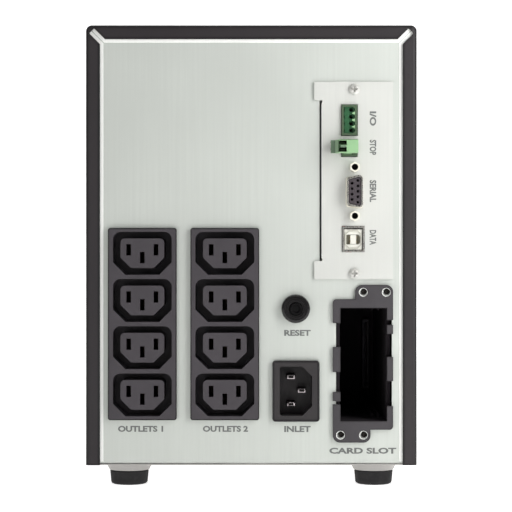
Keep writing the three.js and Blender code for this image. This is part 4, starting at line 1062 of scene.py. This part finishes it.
def power_symbol():
    """A broken ring with a bar on the power button."""
    centre = middle("power_button")
    face = highest("power_button").y - 0.14
    mesh = bmesh.new()
    inner, outer, gap, steps = 2.5, 3.1, math.radians(36), 28
    for i in range(steps):
        a = math.pi / 2 + gap + (2 * math.pi - 2 * gap) * i / steps
        b = math.pi / 2 + gap + (2 * math.pi - 2 * gap) * (i + 1) / steps
        corners = ((inner, a), (outer, a), (outer, b), (inner, b))
        outline = [(centre.x + r * math.cos(t), centre.z + r * math.sin(t)) for r, t in corners]
        add_prism(mesh, outline, face - 0.4, face)
    add_box(mesh, centre.x - 0.3, centre.x + 0.3, face - 0.4, face, centre.z + 1.0, centre.z + 3.7)
    bmesh.ops.remove_doubles(mesh, verts=mesh.verts, dist=1e-4)
    piece("power_symbol", mesh, "power_button", "white_ink")


def indicators():
    """Three domed lamps between the keys and the display, each in a dark ring."""
    crown = highest("display_window").y
    z = (highest("power_button").z + lowest("display_window").z) / 2
    for name, x in (("green", -12), ("amber", 0), ("red", 12)):
        at = (x, crown - 0.05 - BEZEL_SAG * x * x, z)
        dome = bmesh.new()
        profile = [(0, -1.5), (1.5, -1.5), (1.5, 0), (1.35, 0.45), (1.0, 0.8), (0.5, 0.98), (0, 1.02)]
        add_turned(dome, profile, at, 24)
        piece(f"lamp_{name}", dome, "front_bezel", f"{name}_lamp")
        ring = bmesh.new()
        rim = [(1.55, -1), (2.2, -1), (2.2, 0.1), (2.05, 0.3), (1.7, 0.3), (1.55, 0.1)]
        add_ring(ring, rim, at, 24)
        piece(f"lamp_ring_{name}", ring, "front_bezel", "key_plastic")


def add_ring(mesh, profile, centre, steps):
    """Adds a closed profile of (radius, distance) pairs turned about the Y direction."""
    turns = [2 * math.pi * i / steps for i in range(steps)]
    rows = [
        [placed(mesh, centre, r * math.cos(t), r * math.sin(t), d, "Y") for t in turns] for r, d in profile
    ]
    add_skin(mesh, rows + rows[:1])


SEGMENTS = {"0": "abcdef", "2": "abged", "3": "abgcd"}


def display_readout():
    """Three seven-segment digits and a row of charge bars on the liquid-crystal cell."""
    centre = middle("display_module")
    face = highest("display_module").y - 0.58
    mesh = bmesh.new()
    tall, wide, thick = 11.0, 6.4, 1.1
    bars = {
        "a": (0, tall / 2, True), "g": (0, 0, True), "d": (0, -tall / 2, True),
        "b": (wide / 2, tall / 4, False), "c": (wide / 2, -tall / 4, False),
        "f": (-wide / 2, tall / 4, False), "e": (-wide / 2, -tall / 4, False),
    }
    for place, digit in enumerate("230"):
        x = centre.x + 12 - place * 9.5
        for segment in SEGMENTS[digit]:
            dx, dz, flat = bars[segment]
            half_u, half_w = (wide / 2 - 0.3, thick / 2) if flat else (thick / 2, tall / 4 - 0.3)
            add_prism(mesh, hexagon(x - dx, centre.z + 2 + dz, half_u, half_w), face - 0.05, face + 0.05)
    for i in range(6):
        x = centre.x + 14 - i * 4.6
        add_box(mesh, x - 1.7, x + 1.7, face - 0.05, face + 0.05, centre.z - 9.5, centre.z - 7)
    piece("display_readout", mesh, "front_bezel", "segment_ink")


def hexagon(x, z, half_u, half_w):
    """A bar with pointed ends along its longer side."""
    if half_u > half_w:
        tip = half_u - half_w
        return [
            (x - half_u, z), (x - tip, z - half_w), (x + tip, z - half_w),
            (x + half_u, z), (x + tip, z + half_w), (x - tip, z + half_w),
        ]
    tip = half_w - half_u
    return [
        (x, z - half_w), (x + half_u, z - tip), (x + half_u, z + tip),
        (x, z + half_w), (x - half_u, z + tip), (x - half_u, z - tip),
    ]


power_symbol()
indicators()
display_readout()


# ---------------------------------------------------------------- floor, light and camera


def look_at(thing, target):
    thing.rotation_euler = (Vector(target) - thing.location).to_track_quat("-Z", "Y").to_euler()


def area_light(name, location, target, size, power):
    data = bpy.data.lights.new(name, "AREA")
    data.shape = "RECTANGLE"
    data.size, data.size_y = size
    data.energy = power
    lamp = bpy.data.objects.new(name, data)
    lamp.location = location
    look_at(lamp, target)
    bpy.context.scene.collection.objects.link(lamp)


def studio():
    """A pale floor that curves up into a backdrop, far behind the object."""
    width, near, far, height, bend = 6.0, -3.0, 2.2, 3.0, 0.8
    profile = [(near, 0.0), (far - bend, 0.0)]
    steps = 12
    for i in range(1, steps + 1):
        turn = math.pi / 2 * i / steps
        profile.append((far - bend + bend * math.sin(turn), bend - bend * math.cos(turn)))
    profile.append((far, height))
    mesh = bmesh.new()
    rows = [[mesh.verts.new((side * width / 2, y, z)) for side in (-1, 1)] for y, z in profile]
    for (a, b), (c, d) in zip(rows, rows[1:]):
        mesh.faces.new((a, b, d, c)).smooth = True
    data = bpy.data.meshes.new("studio_floor")
    mesh.to_mesh(data)
    mesh.free()
    floor = bpy.data.objects.new("studio_floor", data)
    bpy.context.scene.collection.objects.link(floor)
    s = Surface("studio_paper", roughness=0.9)
    s.colour(s.blend(s.noise(3, 3), srgb(250, 250, 250), srgb(253, 253, 253)))
    s.shader.inputs["Emission Color"].default_value = (1, 1, 1, 1)
    s.shader.inputs["Emission Strength"].default_value = 0.8
    data.materials.append(s.material)


def camera():
    """Straight at the rear panel from nearly a metre away, a little to the right of its middle."""
    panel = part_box("rear_panel")[0].y
    data = bpy.data.cameras.new("camera")
    data.sensor_width = 36
    data.lens = 128.1
    aside, away, height = 2.4 * MM, 936 * MM, 119.7 * MM
    eye = bpy.data.objects.new("camera", data)
    eye.location = (aside, panel - away, height)
    eye.rotation_euler = (math.pi / 2, 0, 0)
    bpy.context.scene.collection.objects.link(eye)
    bpy.context.scene.camera = eye


def lights():
    world = bpy.data.worlds.new("studio")
    world.use_nodes = True
    tree = world.node_tree
    seen = tree.nodes["Background"]
    seen.inputs["Color"].default_value = (1, 1, 1, 1)
    seen.inputs["Strength"].default_value = 1.0
    glow = tree.nodes.new("ShaderNodeBackground")
    glow.inputs["Strength"].default_value = 0.1
    either = tree.nodes.new("ShaderNodeMixShader")
    tree.links.new(tree.nodes.new("ShaderNodeLightPath").outputs["Is Camera Ray"], either.inputs[0])
    tree.links.new(glow.outputs[0], either.inputs[1])
    tree.links.new(seen.outputs[0], either.inputs[2])
    tree.links.new(either.outputs[0], tree.nodes["World Output"].inputs["Surface"])
    bpy.context.scene.world = world
    middle = (0, 0, 120 * MM)
    area_light("key", (0.27, -0.39, 0.25), (0.085, -0.18, 0.13), (0.16, 0.4), 1.15)
    area_light("fill", (-0.7, -1.3, 0.6), middle, (0.9, 0.9), 2.3)
    area_light("top", (0, 0.1, 1.6), middle, (1.6, 1.6), 7)
    area_light("front", (0.4, 1.6, 0.9), middle, (1.2, 1.2), 9)


bpy.context.scene.view_settings.view_transform = "Standard"
camera()
lights()
studio()
